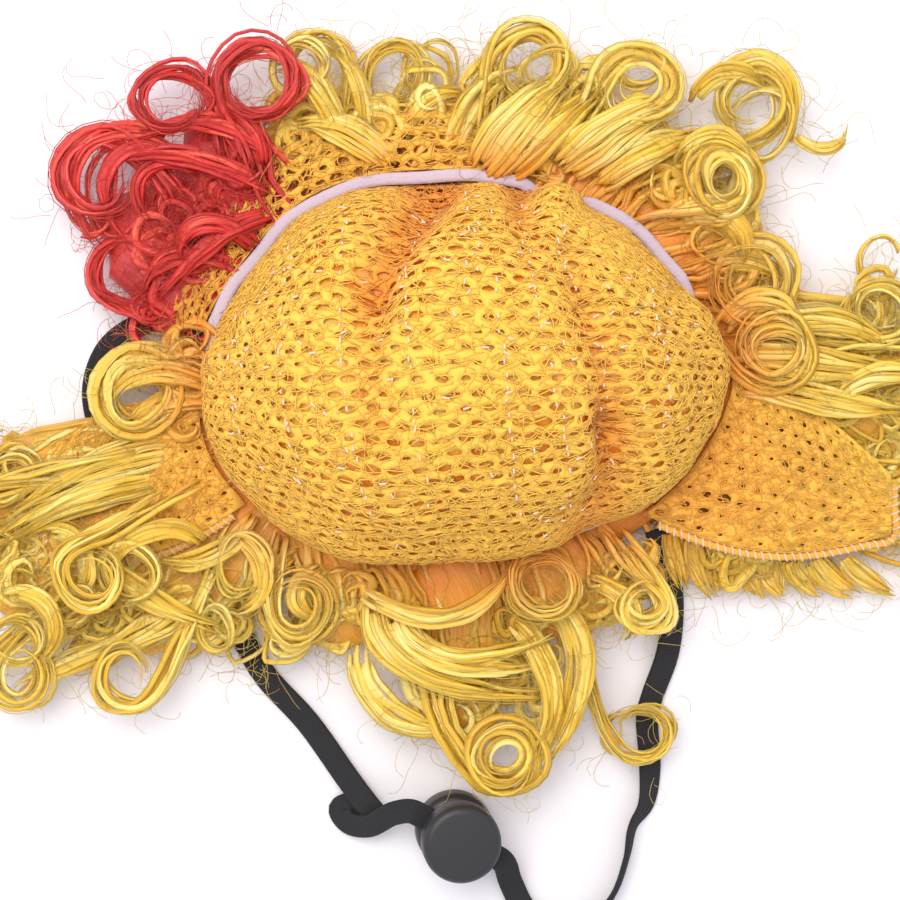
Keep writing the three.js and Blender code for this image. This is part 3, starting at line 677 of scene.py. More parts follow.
def cap_shares(x, y):
    """A point of the plan as shares of the cap's half sizes from its centre."""
    return (x - CAP_X) / CAP_HALF_WIDTH, (y - CAP_Y) / CAP_HALF_LENGTH


def from_plan(x, y):
    """The place in the unit disc under a point of the plan, in millimetres."""
    across, along = cap_shares(x, y)
    angle = np.arctan2(along, across)
    far = np.hypot(across, along) / outline_share(angle)
    ring = np.arcsin(np.clip(far, 0, 0.999)) / (np.pi / 2)
    return ring * np.cos(angle), ring * np.sin(angle)


def seam_dashes(seam, pitch=3.0, length=1.4):
    """The dashes of a seam: most of its stitches, each a little off its line."""
    line = smooth_path([(x, y, 0.0) for x, y in seam], 10)
    count = int(length_of(line) / pitch)
    fine = evenly(line, count * 20)
    dashes = []
    for k in range(count):
        start = k * 20 + rng.integers(0, 5)
        run = fine[start : start + max(3, int(20 * length / pitch * rng.uniform(0.5, 1.1)))]
        if len(run) < 3 or rng.random() < 0.25:
            continue
        run = evenly(run, 5)
        shift = rng.normal(0, 0.35, 2)
        x, y = from_plan(run[:, 0] + shift[0], run[:, 1] + shift[1])
        dashes.append(dome(x, y, -0.35 - 0.25 * np.sin(np.linspace(0, np.pi, 5))))
    return dashes


LOOSE_STITCHES = 110
dashes = [dash for seam in SEAMS for dash in seam_dashes(seam)]
for _ in range(LOOSE_STITCHES):
    far, angle = math.sqrt(rng.random()) * 0.75, rng.uniform(0, 2 * np.pi)
    way = rng.uniform(0, np.pi)
    t = np.linspace(-0.009, 0.009, 5)
    x = far * math.cos(angle) + t * math.cos(way)
    y = far * math.sin(angle) + t * math.sin(way)
    dashes.append(dome(x, y, np.full(5, -0.4)))
stitches = swept(np.array(dashes), ellipse(5), 0.25, 0.2, tone=0.8, warmth=0.1)
piece("weft_seams", stitches, seam_thread)

# %% [markdown]
# ## Crown hair
# The wefts of the crown hang inside the cap. What shows through the net is the wavy top of
# that mass, so it is a padded shell with combed grooves, more orange than the free curls;
# part of that orange is painted shade, in the folds and under the open holes.

# %% Crown hair
CROWN_COLUMNS = 104
CROWN_ROWS = 56
CROWN_REACH = 0.96
CROWN_WIDENING = 1.05
CROWN_GAP = 0.15
GROOVE_DEPTH = 0.7
CROWN_DEPTH = 2.8


def combed(u, v):
    """Grooves of combed hair, 0 to 1."""
    flow = u * 26 + 2.4 * np.sin(v * 5 + u * 3) + 1.1 * np.sin(v * 11 - u * 7)
    fine = np.sin(flow * 3.1 + 4 * np.sin(v * 3)) * 0.3
    return np.clip(0.5 + 0.38 * np.sin(flow) + fine, 0, 1)


sides = [np.linspace(-1, 1, count) for count in (CROWN_COLUMNS, CROWN_ROWS)]
u, v = [grid.ravel() for grid in np.meshgrid(*sides, indexing="ij")]
index = np.arange(len(u)).reshape(CROWN_COLUMNS, CROWN_ROWS)
a, b, c, d = index[:-1, :-1], index[1:, :-1], index[1:, 1:], index[:-1, 1:]
halves = [np.stack(corners, axis=-1).reshape(-1, 3) for corners in ((a, b, c), (a, c, d))]
x, y = squared(u * CROWN_REACH, v * CROWN_REACH)
top_inset = NET_WALL + CROWN_GAP + GROOVE_DEPTH * (1 - combed(u, v))
points, polygons = thick_sheet(
    dome(x, y, top_inset, CROWN_WIDENING),
    dome(x, y, NET_WALL + CROWN_DEPTH, CROWN_WIDENING),
    np.concatenate(halves),
)
comb = np.stack([points[:, 0], points[:, 1] * 4, points[:, 2] * 0], axis=1)
# Painted shade: the crown turns orange down in the folds and under open holes, lighter on the
# bulges, and its tone is darker down in the combed grooves.
open_net = np.tile(hole_spread(u / 2 + 0.5, v / 2 + 0.5), 2)
painted_shade = np.tile(fold_and_rim_shade(*squared(u, v)), 2) * 0.5 + 0.9 * (open_net - 0.58)
crown = with_marks(points, polygons, np.tile(combed(u, v), 2), 0.5, painted_shade, comb)
piece("crown_strands", crown, crown_fibre, "crown_hair")

# %% [markdown]
# ## Rim elastic
# A narrow woven elastic is stitched into the rim and gathers it. Only parts of the loop show.

# %% Rim elastic
# Half of its section, from the low side to the high one; the other half mirrors it
ELASTIC_HALF = [(-1, -0.5), (-0.3, -0.6), (0.3, -0.6), (1, -0.5)]
around = np.linspace(0, 360, 361)
sag = 0.25 * np.sin(np.radians(around * 17))
under = tucked(around)
loop_path = rim_point(around, 1.8 + sag - 2.8 * under, 12.9 - 1.5 * under)
ribs = 0.12 * np.sin(np.arange(361) * np.pi / 2)
section = ELASTIC_HALF + [(-x, -y) for x, y in ELASTIC_HALF]
elastic = swept(loop_path[None], section, 1.5, 1.0 + ribs, tone=0.5, warmth=0.15)
piece("woven_rim_elastic", elastic, pale_elastic, "rim_elastic")

# %% [markdown]
# ## Net outside the elastic
# The front band and the two side flaps are the same net, cut wider than the elastic.

# %% Net outside the elastic
BAND_FROM = 168
BAND_TO = 72
BAND_SHARES = np.array([0.55, 0.8, 1, 1.15, 1.1, 0.9])
FLAP_SLANT = 1.25
FLAP_BULGE = 0.14
FLAP_HALF_WAVES = 2.2


def on_band(u, v, high):
    share = np.interp(u, np.linspace(0, 1, 6), BAND_SHARES)
    wave = np.sin(u * 9 * np.pi) * NET_WALL * 0.8 * v
    z = RIM_HEIGHT + NET_WALL / 2 - NET_WALL * 2 * v * v + wave + high
    angle = BAND_FROM + (BAND_TO - BAND_FROM) * u
    return rim_point(angle, SHEET_START + BAND_WIDTH * share * v, z)


# Painted shade of the band: more orange near the rim and at its first end.
def band_shade(u, v):
    return 0.35 + 0.3 * np.exp(-((u / 0.25) ** 2)) - 0.2 * v


band_part, band_corners, band_cells = net_part(25, 5, on_band, band_shade)
band_fuzz = filaments(band_corners, band_cells, on_band, band_shade, 2)
front_band = piece("front_band_net", band_part, net_yarn, "front_net_band")
piece("front_band_fuzz", band_fuzz, net_yarn)

FLAPS = {
    "right_flap": dict(high=1, low=-47, reach=0.88, tip_high=-0.42, tip_low=-0.66, way=1),
    "left_flap": dict(high=187, low=219, reach=0.82, tip_high=-0.3, tip_low=-0.72, way=-1),
}


def flap_place(flap, out, across, high):
    """A point of a flap: out from the rim to the tip, across from its high to its low edge."""
    root = rim_point(flap["high"] + (flap["low"] - flap["high"]) * across, SHEET_START, RIM_HEIGHT)
    edge = flap["tip_high"] + (flap["tip_low"] - flap["tip_high"]) * across
    x = CAP_X + flap["way"] * (CAP_HALF_WIDTH + FLAP_LENGTH * flap["reach"])
    y = CAP_Y + FLAP_LENGTH * edge * FLAP_SLANT
    tip = np.stack(np.broadcast_arrays(x, y, RIM_HEIGHT * 0.75), axis=-1)
    spot = root + (tip - root) * np.asarray(out)[..., None]
    half = np.where(np.asarray(across) < 0.5, 0.5, 1.0)
    bulge = np.sin(out * np.pi) * FLAP_LENGTH * FLAP_BULGE * half
    spot[..., 1] += bulge * (0.5 - across) * 2
    spot[..., 2] += np.sin(out * FLAP_HALF_WAVES * np.pi) * np.sin(across * np.pi) * NET_WALL
    spot[..., 2] += high - NET_WALL / 2
    return spot


def flap_spread(u, v):
    return 0.36 + 0.2 * np.sin(u * 9) * np.sin(v * 7)


for name, flap in FLAPS.items():
    right = flap["way"] > 0

    def on_flap(u, v, high, flap=flap, right=right):
        return flap_place(flap, u, 1 - v if right else v, high)

    # Painted shade of a flap: more orange near the rim, where the dome shades it.
    def flap_shade(u, v, right=right):
        return 0.5 - 0.45 * u + 0.12 * np.sin(v * 5) if right else 0.4 - 0.2 * u

    flap_part, flap_corners, flap_cells = net_part(
        12, 10, on_flap, flap_shade, spread=flap_spread, vary=0.3
    )
    flap_fuzz = filaments(flap_corners, flap_cells, on_flap, flap_shade, 4, 0.13)
    piece(f"{name}_net", flap_part, net_yarn, name)
    piece(f"{name}_fuzz", flap_fuzz, net_yarn)

# %% [markdown]
# ## Overlocked edges
# An overlocker binds the raw edge of each flap with a thread that winds round and round it.

# %% Overlocked edges
EDGING_RADIUS = 1.2
OVERLOCK_PITCH = 1.9
COIL_RADIUS = 0.95
THREAD_RADIUS = 0.26


def edging_path(flap):
    """Along the low edge of a flap and round its tip, a little outside the net."""
    out = EDGING_RADIUS * 0.7
    share = 0.06 + 0.94 * np.arange(9) / 8
    low = flap_place(flap, share, 1.0, 0.0)
    low[:, 1] -= out * 1.3
    low[-1, 0] += flap["way"] * out
    tip = flap_place(flap, 1.0, np.array([0.55, 0.15]), 0.0)
    tip[:, 0] += flap["way"] * out
    return smooth_path(np.concatenate([low, tip]), 12)


for name, flap in FLAPS.items():
    path = evenly(edging_path(flap), 60)
    edge = swept(path[None], ellipse(8), 0.9, 0.8, warmth=1.0)
    turns = int(length_of(path) / OVERLOCK_PITCH)
    line = evenly(path, turns * 8 + 1)
    side, rise = turned_sides(line, 0.0)
    wind = np.linspace(0, turns * 2 * np.pi, len(line))[:, None]
    coil = line + (np.cos(wind) * side + np.sin(wind) * rise) * COIL_RADIUS
    coil += rng.normal(0, 0.07, coil.shape)
    thread = swept(coil[None], ellipse(5), THREAD_RADIUS, THREAD_RADIUS, tone=0.8)
    piece(f"{name}_overlock", joined([edge, thread]), edging_thread, f"{name}_edging")

# %% [markdown]
# ## Hair
# Each lock starts on the weft under the rim. A wide lobe of hair is many tresses that fan out
# from the weft, wave from side to side and end in a loose curl. A ringlet is one thick tress
# wound round its place. A tress is a satin band with fibres combed along it, and single
# fibres that have sprung loose make the frizz round every lock.

# %% Hair: the locks of the part's source
LOCK_COLUMNS = "root x y turns radius low high wide tall sway"
HAIR = {
    "top_hair_right": """
        94 0.13 0.84 0 0 0.28 0.28 2.2 0.62 0.1
        66 0.38 0.8 0 0 0.28 0.3 2.2 0.64 0.1
        40 0.58 0.49 0 0 0.28 0.3 2.6 0.64 0.1
        88 0.15 0.89 -1 0.9 0.4 0.6 0.36 0.45 0
        72 0.35 0.83 -1.1 0.9 0.4 0.66 0.36 0.45 0
        50 0.504 0.587 1.3 0.82 0.4 0.75 0.42 0.5 0
        60 0.56 0.79 1 0.85 0.3 0.5 0.3 0.4 0
        36 0.56 0.33 -1.1 1 0.4 0.6 0.36 0.45 0
    """,
    "top_hair_left": """
        118 -0.2 0.84 0 0 0.26 0.24 2 0.6 0
        120 -0.25 0.89 1 0.8 0.3 0.5 0.28 0.35 0
        113 -0.1 0.87 -0.9 0.8 0.26 0.34 0.2 0.25 0
    """,
    "red_forelock": """
        156 -0.66 0.51 0 0 0.3 0.32 2.4 0.7 0.1
        140 -0.49 0.77 0 0 0.3 0.32 2 0.7 0.1
        135 -0.356 0.837 -1.1 1.03 0.4 0.76 0.32 0.45 0
        145 -0.515 0.79 1 0.88 0.4 0.7 0.22 0.3 0
        152 -0.65 0.6 0.95 1.05 0.4 0.6 0.36 0.4 0.1
        164 -0.605 0.36 -1.05 0.85 0.3 0.44 0.26 0.34 0
    """,
    "temple_curl": """
        182 -0.54 0.07 0 0 0.38 0.42 1.4 0.45 0
        181 -0.575 0.04 1.2 1 0.45 0.6 0.42 0.45 0
    """,
    "side_hair_left": """
        200 -0.92 -0.27 0 0 0.27 0.24 2.2 0.6 0.1
        210 -0.86 -0.5 0 0 0.27 0.24 2.7 0.6 -0.1
        218 -0.57 -0.63 0 0 0.27 0.26 2.1 0.6 0.1
        202 -0.93 -0.3 1 0.8 0.4 0.6 0.34 0.4 0
        213 -0.8 -0.68 1 0.75 0.3 0.55 0.34 0.4 0
        217 -0.6 -0.68 -1 0.8 0.3 0.6 0.34 0.4 0
        208 -0.66 -0.42 1 0.8 0.6 0.75 0.3 0.35 0
    """,
    "back_hair": """
        238 -0.16 -0.6 0 0 0.28 0.28 2.2 0.64 0.1
        262 0.08 -0.84 0 0 0.26 0.3 2.4 0.7 0.2
        288 0.26 -0.58 0 0 0.28 0.3 2.3 0.64 0
        254 0.1 -0.88 1.4 0.78 0.4 0.8 0.42 0.5 0.2
        284 0.176 -0.44 1 0.75 0.6 0.85 0.2 0.26 0
        304 0.36 -0.5 -1 0.55 0.5 0.7 0.36 0.35 0
        290 0.36 -0.83 1 0.75 0.3 0.42 0.2 0.25 0.1
        228 -0.28 -0.5 1 0.8 0.4 0.7 0.34 0.4 0
    """,
    "side_hair_right": """
        10 0.92 0.06 0 0 0.26 0.24 2.7 0.58 0.1
        -14 0.94 -0.22 0 0 0.18 0.16 2.7 0.42 0
        -33 0.64 -0.39 0 0 0.18 0.16 1.9 0.42 0
        17 0.6 0.16 1.1 0.95 0.44 0.64 0.36 0.4 0
        12 0.8 0.25 1 0.78 0.36 0.55 0.26 0.34 0
        6 0.92 0.1 -1.1 0.85 0.4 0.6 0.34 0.4 0
        -28 0.92 -0.42 -1 0.6 0.2 0.34 0.34 0.34 0
    """,
}
# The weft of each group: rim angles from and to
WEFTS = {
    "top_hair_right": (24, 106),
    "top_hair_left": (108, 127),
    "red_forelock": (129, 170),
    "temple_curl": (172, 189),
    "side_hair_left": (191, 221),
    "back_hair": (224, 317),
    "side_hair_right": (-41, 22),
}

# Satin bands that lie on top, each a cubic curve in the plan: its four corners, its height at
# either end, its width and how far it is turned on edge at its middle
BAND_COLUMNS = "x0 y0 x1 y1 x2 y2 x3 y3 low high wide turn"
BANDS = {
    "top_hair_right": """
        7 58 12 64 20 76 30 82 12 17 12 10
        13 58 18 63 27 70 37 80 12 15 9 -10
        26 58 34 64 44 73 57 76 12 16 11 15
        36 56 42 60 50 66 62 68 11 14 8 0
        84 70 88 62 98 62 98 72 8 12 2.4 30
        66 82 76 92 88 84 84 66 10 14 4.5 35
        60 76 64 86 74 84 80 78 9 13 5 25
        56 60 60 70 74 68 74 56 11 16 6 30
        54 46 62 52 74 46 72 36 12 15 8 25
        58 32 66 38 78 40 84 30 9 12 6 20
        0 62 2 74 10 82 18 84 9 13 6 15
    """,
    "top_hair_left": """
        -14 60 -22 68 -30 72 -38 70 11 14 8 15
        -26 62 -28 76 -36 88 -44 84 10 14 6 25
        -22 66 -18 76 -24 88 -32 90 9 12 4 30
        -12 64 -10 76 -2 80 4 78 8 11 5 10
    """,
    "red_forelock": """
        -64 62 -84 80 -106 58 -84 38 10 14 4.5 15
        -64 60 -80 74 -94 56 -78 40 11 14 3.4 15
        -60 58 -74 66 -84 54 -70 43 12 15 3 15
        -40 60 -52 73 -66 73 -80 66 12 15 5 20
        -44 54 -56 61 -70 65 -84 61 12 16 5 10
        -48 40 -56 50 -68 46 -66 34 13 17 5 20
        -44 48 -54 46 -62 38 -72 28 13 16 5 10
        -50 34 -60 41 -74 40 -76 28 11 14 4.5 20
        -54 28 -64 21 -80 20 -88 32 8 10 3 20
        -46 58 -44 66 -48 72 -58 76 12 15 4 20
    """,
    "temple_curl": """
        -58 6 -66 10 -78 12 -84 2 13 15 5 20
        -57 2 -66 4 -74 2 -80 -4 12 13 5 15
    """,
    "side_hair_left": """
        -62 -10 -78 -8 -92 -15 -112 -28 10 12 8 10
        -66 -16 -82 -20 -98 -22 -116 -36 9 12 7 -10
        -90 -34 -78 -44 -70 -50 -56 -54 11 14 6 20
        -60 -34 -66 -24 -84 -30 -84 -44 12 16 5 30
        -100 -30 -88 -28 -84 -44 -98 -50 11 14 5 30
        -110 -46 -98 -42 -92 -56 -104 -64 10 13 5 25
        -74 -52 -84 -62 -100 -62 -108 -70 8 10 6 15
        -54 -30 -44 -34 -42 -48 -54 -50 11 15 5 30
        -62 -46 -72 -56 -84 -56 -90 -66 8 11 6 10
        -48 -26 -54 -36 -64 -40 -74 -36 11 13 5 20
    """,
    "back_hair": """
        -24 -43 -6 -56 8 -52 17 -36 15 19 4.5 15
        -18 -45 -22 -60 -4 -70 24 -70 14 17 7 20
        -13 -48 -14 -60 4 -66 28 -61 15 18 6 -15
        -9 -52 -8 -62 8 -64 28 -53 15 18 5 15
        24 -46 36 -56 34 -72 22 -88 13 15 7 20
        14 -50 26 -60 30 -74 18 -92 13 16 6 -20
        -30 -38 -42 -42 -40 -52 -26 -52 11 15 5 25
        -36 -34 -46 -38 -50 -48 -40 -52 10 13 4 25
        -22 -58 -24 -72 -10 -80 2 -78 11 13 7 10
        34 -42 44 -44 48 -52 42 -58 11 14 5 30
        42 -36 50 -38 54 -46 50 -52 10 12 4 25
    """,
    "side_hair_right": """
        70 12 84 14 98 8 112 10 12 13 9 10
        72 6 86 6 98 -2 116 0 12 13 7 -10
        78 18 88 26 100 22 110 14 11 13 6 15
        66 18 70 30 84 30 86 18 12 15 6 25
        96 4 104 12 116 10 122 2 12 14 5 20
        55 -29 55 -34 57 -40 58 -45 7 4 6 0
        61 -31 61 -36 63 -42 66 -47 7 4 6 0
        67 -33 67 -38 68 -43 69 -47 7 4 6 0
        73 -35 73 -39 75 -43 78 -47 7 4 6 0
        79 -36 80 -40 81 -43 83 -46 6 4 6 0
        85 -37 86 -40 89 -44 93 -46 6 4 6 0
        91 -37 93 -41 97 -44 102 -46 6 4 6 0
        98 -37 101 -41 106 -44 111 -46 6 4 5 0
    """,
}

# Thin rings of a few fibres: place, radii, turns, height and width
RING_COLUMNS = "x y rx ry turns z wide"
RINGS = {
    "back_hair": """
        23 -43 8.3 7.6 1.3 19 1.8
        47.5 -80 9 6.2 1.2 6 1.4
        -51 -38 7 8 1.1 15 2.2
    """,
    "side_hair_left": """
        -79 -40 7.4 7.4 1.2 16 2.4
        -107 -57 6.5 6.5 1.3 13 2.4
        -109 -17 6 6 1.2 12 2
        -58 -54 5 6 1.1 13 1.8
        -93 -48 5 5 1.2 15 2
    """,
    "top_hair_left": """
        -4 85 6.5 7 0.8 8 0.7
        -37 84 7 6 1.2 14 2.2
    """,
    "top_hair_right": """
        24 84 6.5 4.6 1.1 14 2
        47 85 6 5 1.1 13 2.2
        77 71 8 9 1.0 12 2.2
        66 54 7.5 8 1.4 17 3.2
    """,
    "red_forelock": """
        -47 80 11.5 8 1.3 16 2.6
        -69 76 10.5 6.5 1.2 14 1.8
        -80 34 8.5 8 1.1 11 2
        -89 56 7 13 1.2 12 1.8
        -82 54 8 12 1.0 13 1.2
    """,
    "side_hair_right": """
        105 24 7.6 7 1.2 13 2.2
        107 37 4.5 6.5 0.9 8 0.9
        80 14 7 6 1.2 15 2.2
    """,
    "temple_curl": """
        -76 2 9 9 1.4 14 2
    """,
}


# %% Hair: guide lines
def lock_line(lock):
    """The middle line of a lock, the same as in the part's source."""
    start = rim_point(lock["root"], 0, lock["low"] * HAIR_DEPTH)
    centre = np.array([lock["x"] * SPREAD_X, lock["y"] * SPREAD_Y, lock["high"] * HAIR_DEPTH])
    radius = lock["radius"] * CURL_RADIUS
    turn = np.sign(lock["turns"])
    end = centre.copy()
    angle = 0.0
    if turn:
        away = (start - centre)[:2]
        lean = math.acos(min(1, radius / np.hypot(*away)))
        angle = math.atan2(away[1], away[0]) + turn * lean
        end += np.array([radius * math.cos(angle), radius * math.sin(angle), 0])
        end[2] = (start[2] + centre[2]) / 2
    side = unit(np.array([start[1] - end[1], end[0] - start[0], 0.0]))
    spots = []
    for t in (0, 0.25, 0.5, 0.75):
        wave = math.sin(t * 2 * math.pi) * lock["sway"] * LOCK_WIDTH
        spots.append(start + (end - start) * t + side * wave)
    if not turn:
        return smooth_path([*spots, end], 8)
    pieces = math.ceil(abs(lock["turns"]) * 8)
    for t in np.arange(pieces + 1) / pieces:
        at = angle + lock["turns"] * 2 * math.pi * t
        r = radius * (1 - 0.25 * t)
        z = end[2] + (centre[2] - end[2]) * t
        spots.append([centre[0] + r * math.cos(at), centre[1] + r * math.sin(at), z])
    return smooth_path(spots, 5)


def tress_line(start, end, wave, waves, phase, curl, turns, steps=22):
    """A guide from start towards end that sways by its heading, then curls up. Its points
    lie closer in the curl."""
    reach = np.hypot(*(end - start)[:2])
    heading = math.atan2(end[1] - start[1], end[0] - start[0])
    arc = abs(turns) * 2 * math.pi * curl
    total = reach + arc
    s = np.linspace(0, total, 100)
    free = np.clip(s / reach, 0, 1)
    sway = wave * (0.35 + 0.65 * free) * np.sin(2 * np.pi * waves * s / reach + phase)
    wound = np.clip(s - reach, 0, None)
    shrink = curl * (1 - 0.35 * wound / max(arc, 1e-6))
    turned = np.sign(turns) * np.cumsum(np.where(wound > 0, (s[1] - s[0]) / shrink, 0))
    course = heading + sway * np.exp(-wound / 4) + turned
    step = s[1] - s[0]
    x = start[0] + np.cumsum(np.cos(course)) * step
    y = start[1] + np.cumsum(np.sin(course)) * step
    lift = np.clip(wound / max(arc, 1e-6), 0, 1) * curl * 0.35
    z = start[2] + (end[2] - start[2]) * free + lift
    spent = np.cumsum(np.where(wound > 0, 2.4, 1.0))
    want = np.linspace(spent[0], spent[-1], steps)
    return np.stack([np.interp(want, spent, axis) for axis in (x, y, z)], axis=1)


def wobbled(path, amount=0.9, waves=(31.0, 17.0, 9.0)):
    """The path with a soft irregular sway of a few wave lengths."""
    s = reach_of(path)
    sway = np.zeros_like(path)
    for wave in waves:
        phase = rng.uniform(0, 6.28, 3)
        sway += wave / waves[0] * np.sin(s[:, None] / wave * 6.28 + phase) * [1, 1, 0.4]
    return path + amount * sway * np.clip(s / 8, 0, 1)[:, None]


def cubic(band, steps=19):
    """The curve of a satin band."""
    t = np.linspace(0, 1, steps)[:, None]
    spots = [np.array([band[f"x{k}"], band[f"y{k}"], 0.0]) for k in range(4)]
    path = spots[0] * (1 - t) ** 3 + spots[1] * 3 * t * (1 - t) ** 2
    path = path + spots[2] * 3 * t * t * (1 - t) + spots[3] * t**3
    path[:, 2] = band["low"] + (band["high"] - band["low"]) * np.sin(t[:, 0] * np.pi)
    return path


def ring_line(ring, steps=30):
    """An open oval ring that winds down towards its end."""
    begin = rng.uniform(0, 2 * np.pi)
    at = begin + np.linspace(0, 2 * np.pi * ring["turns"], steps)
    share = 1 - 0.12 * np.linspace(0, 1, steps)
    x = ring["x"] + ring["rx"] * share * np.cos(at)
    y = ring["y"] + ring["ry"] * share * np.sin(at)
    z = ring["z"] + 1.2 * np.sin(at + 1) - 1.5 * np.linspace(0, 1, steps)
    return np.stack([x, y, z], axis=1)


# %% Hair: tresses, fibres and frizz
def rim_shade(points):
    """Painted shade: 1 under the rim, towards 0 out in the free curls."""
    far = np.hypot(*cap_shares(points[..., 0], points[..., 1]))
    return np.exp(-((np.maximum(0, far - 0.98) / 0.26) ** 2))


def deep_shade(points):
    """Painted shade: more orange low down in the mass."""
    return np.clip(1 - points[..., 2] / 8.0, 0, 1)


def above_floor(part, low=0.3):
    part[0][:, 2] = np.maximum(part[0][:, 2], low)
    return part


def satin(guide, half_width, half_height, tone=0.6, warmth=None, twist=0.5, corners=5):
    """One smooth satin band along a guide, softly twisted, thin at its ends."""
    t = np.linspace(0, 1, len(guide))
    ends = np.clip(np.minimum(0.55 + t * 6, (1 - t) * 3.5 + 0.12), 0, 1)
    sway = twist * np.sin(t * rng.uniform(2, 5) + rng.uniform(0, 6.28))
    # By default the band carries painted shade: orange under the rim and low in the mass.
    if warmth is None:
        warmth = 0.8 * rim_shade(guide) + 0.35 * deep_shade(guide)
    part = swept(
        guide[None],
        ellipse(corners),
        half_width * ends,
        half_height * (0.35 + 0.65 * ends),
        tilt=sway,
        tone=tone + 0.16 * np.sin(t * rng.uniform(4, 9) + rng.uniform(0, 6)),
        warmth=np.clip(warmth, 0, 1),
    )
    return above_floor(part)


def fibres(guide, half_width, half_height, count, width=0.3, wander=0.25, flare=0.6, pale=0.1):
    """Single fibres along a guide, spread over and a little outside its band."""
    steps = len(guide)
    side, rise = turned_sides(guide, 0.0)
    t = np.linspace(0, 1, steps)
    turn = rng.uniform(0, 2 * np.pi, (count, 1))
    far = rng.uniform(0.75, 1.2, (count, 1)) * (1 + flare * rng.uniform(-0.2, 1, (count, 1)) * t**2)
    drift = wander * np.sin(t * rng.uniform(3, 9, (count, 1)) + rng.uniform(0, 6.28, (count, 1)))
    a = (np.cos(turn) * far + drift) * half_width
    b = (np.sin(turn) * far + drift[:, ::-1] * 0.6) * half_height
    paths = guide[None] + a[..., None] * side[None] + b[..., None] * rise[None]
    paths[..., 2] = np.maximum(paths[..., 2], 0.4)
    taper = np.clip(np.minimum(0.5 + t * 8, (1 - t) * 6 + 0.3), 0, 1)
    # Painted shade: orange under the rim and low in the mass.
    warmth = 0.7 * rim_shade(paths) + 0.3 * deep_shade(paths)
    return swept(
        paths,
        RIBBON,
        width / 2 * taper,
        width / 3 * taper,
        tone=rng.uniform(0.45, 0.95, (count, 1)) + pale,
        warmth=np.clip(warmth, 0, 1),
    )


def frizz(spots, reach, count, width=0.12, low=1.0, high=17.0):
    """Loose curly fibres that start near given spots."""
    steps = 8
    start = spots[rng.integers(0, len(spots), count)] + rng.normal(0, reach, (count, 3)) * [1, 1, 0]
    length = rng.uniform(5, 16, (count, 1))
    bend = rng.choice([-1, 1], (count, 1)) / rng.uniform(3.4, 14, (count, 1))
    s = np.linspace(0, 1, steps)[None] * length
    waves = 0.5 * np.sin(s / rng.uniform(1.5, 4, (count, 1)) + rng.uniform(0, 6.28, (count, 1)))
    course = rng.uniform(0, 2 * np.pi, (count, 1)) + bend * s * (1 + 0.5 * s / length) + waves
    step = length / (steps - 1)
    x = start[:, :1] + np.cumsum(np.cos(course), axis=1) * step
    y = start[:, 1:2] + np.cumsum(np.sin(course), axis=1) * step
    base = np.clip(start[:, 2:] + rng.normal(1.5, 2.5, (count, 1)), low, high)
    z = base + rng.normal(0, 2.0, (count, 1)) * (s / length - 0.5) + 0.8 * np.sin(s / 5)
    paths = np.stack([x, y, np.clip(z, 0.3, high + 2)], axis=-1)
    paths = paths[np.hypot(*cap_shares(x, y)).min(axis=1) >= 1.0]
    # The frizz carries a little painted shade under the rim.
    return swept(
        paths,
        RIBBON,
        width / 2,
        width / 2,
        tone=rng.uniform(0.5, 1.0, (len(paths), 1)),
        warmth=0.3 * rim_shade(paths),
    )


TRESSES_PER_WIDTH = 9
RIM_RADIUS = 54
RINGLET_STRIPS = 8
STRIP_PITCH = 0.95


def core(guide, half_width, half_height, share):
    """The deep orange middle of a lobe, which fills it up behind the tresses; its orange is painted
    shade inside the mass.
    """
    warmth = 0.45 + 0.5 * rim_shade(guide)
    return satin(guide, half_width * share, half_height * share, 0.35, warmth, 0.0, 18)


def lobe(lock, flat=1.0, short=1.0):
    """A wide lobe as layers of tresses that fan out from the weft. flat lowers them, and
    short leaves room for the open loops at their ends."""
    half = lock["wide"] * LOCK_WIDTH / 2
    tall = lock["tall"] * HAIR_DEPTH / 2 * flat
    line = lock_line(lock)
    parts = [core(evenly(line, 20), half * 0.9, tall * 0.7, 0.8)]
    tip = line[-1]
    heading = unit((tip - line[0]) * [1, 1, 0])
    side = np.array([-heading[1], heading[0], 0])
    ahead = rim_point(lock["root"] + 5, 0, 0) - rim_point(lock["root"], 0, 0)
    way = np.sign(np.dot(side, ahead))
    count = round(lock["wide"] * TRESSES_PER_WIDTH)
    guides = []
    for k in range(count):
        layer = k % 3
        across = -0.95 + 1.9 * (k + 0.5) / count
        angle = lock["root"] + math.degrees(across * half * 0.8 / RIM_RADIUS) * way
        low = line[0][2] * flat
        start = rim_point(angle, -2, low + tall * (-0.1 + 0.28 * layer))
        reach = rng.uniform(0.7, 1.0) * short
        end = start + (tip + side * across * half * 0.95 - start) * reach
        end[2] = low + tall * (-0.15 + 0.32 * layer)
        curl = rng.uniform(3.4, 6.8)
        guide = tress_line(
            start,
            end - heading * curl,
            rng.uniform(0.25, 0.55),
            rng.uniform(0.8, 1.6) * max(1, np.hypot(*(end - start)[:2]) / 36),
            rng.uniform(0, 6.28),
            curl,
            rng.choice([-1, 1]) * rng.uniform(0.35, 1.0),
        )
        # Upper layers get a lighter tone: painted light on the top of the lobe.
        shade = rng.uniform(0.2, 0.7) + 0.1 * layer
        for _ in range(1 + layer):
            beside = wobbled(guide + rng.normal(0, 1.3, 3) * [1, 1, 0.5], 0.9)
            parts += strip(beside, rng.uniform(0.6, 1.5), shade + rng.normal(0, 0.15), 1)
        guides.append(guide)
    return parts, guides


def strip(guide, wide, tone, count, twist=0.5, warmth=None, width=0.24, flat=0.5):
    """A satin band with its single fibres."""
    return [
        satin(guide, wide, np.maximum(wide * flat, 0.35), tone, warmth, twist),
        fibres(guide, wide + 0.3, wide * 0.5 + 0.5, count, width),
    ]


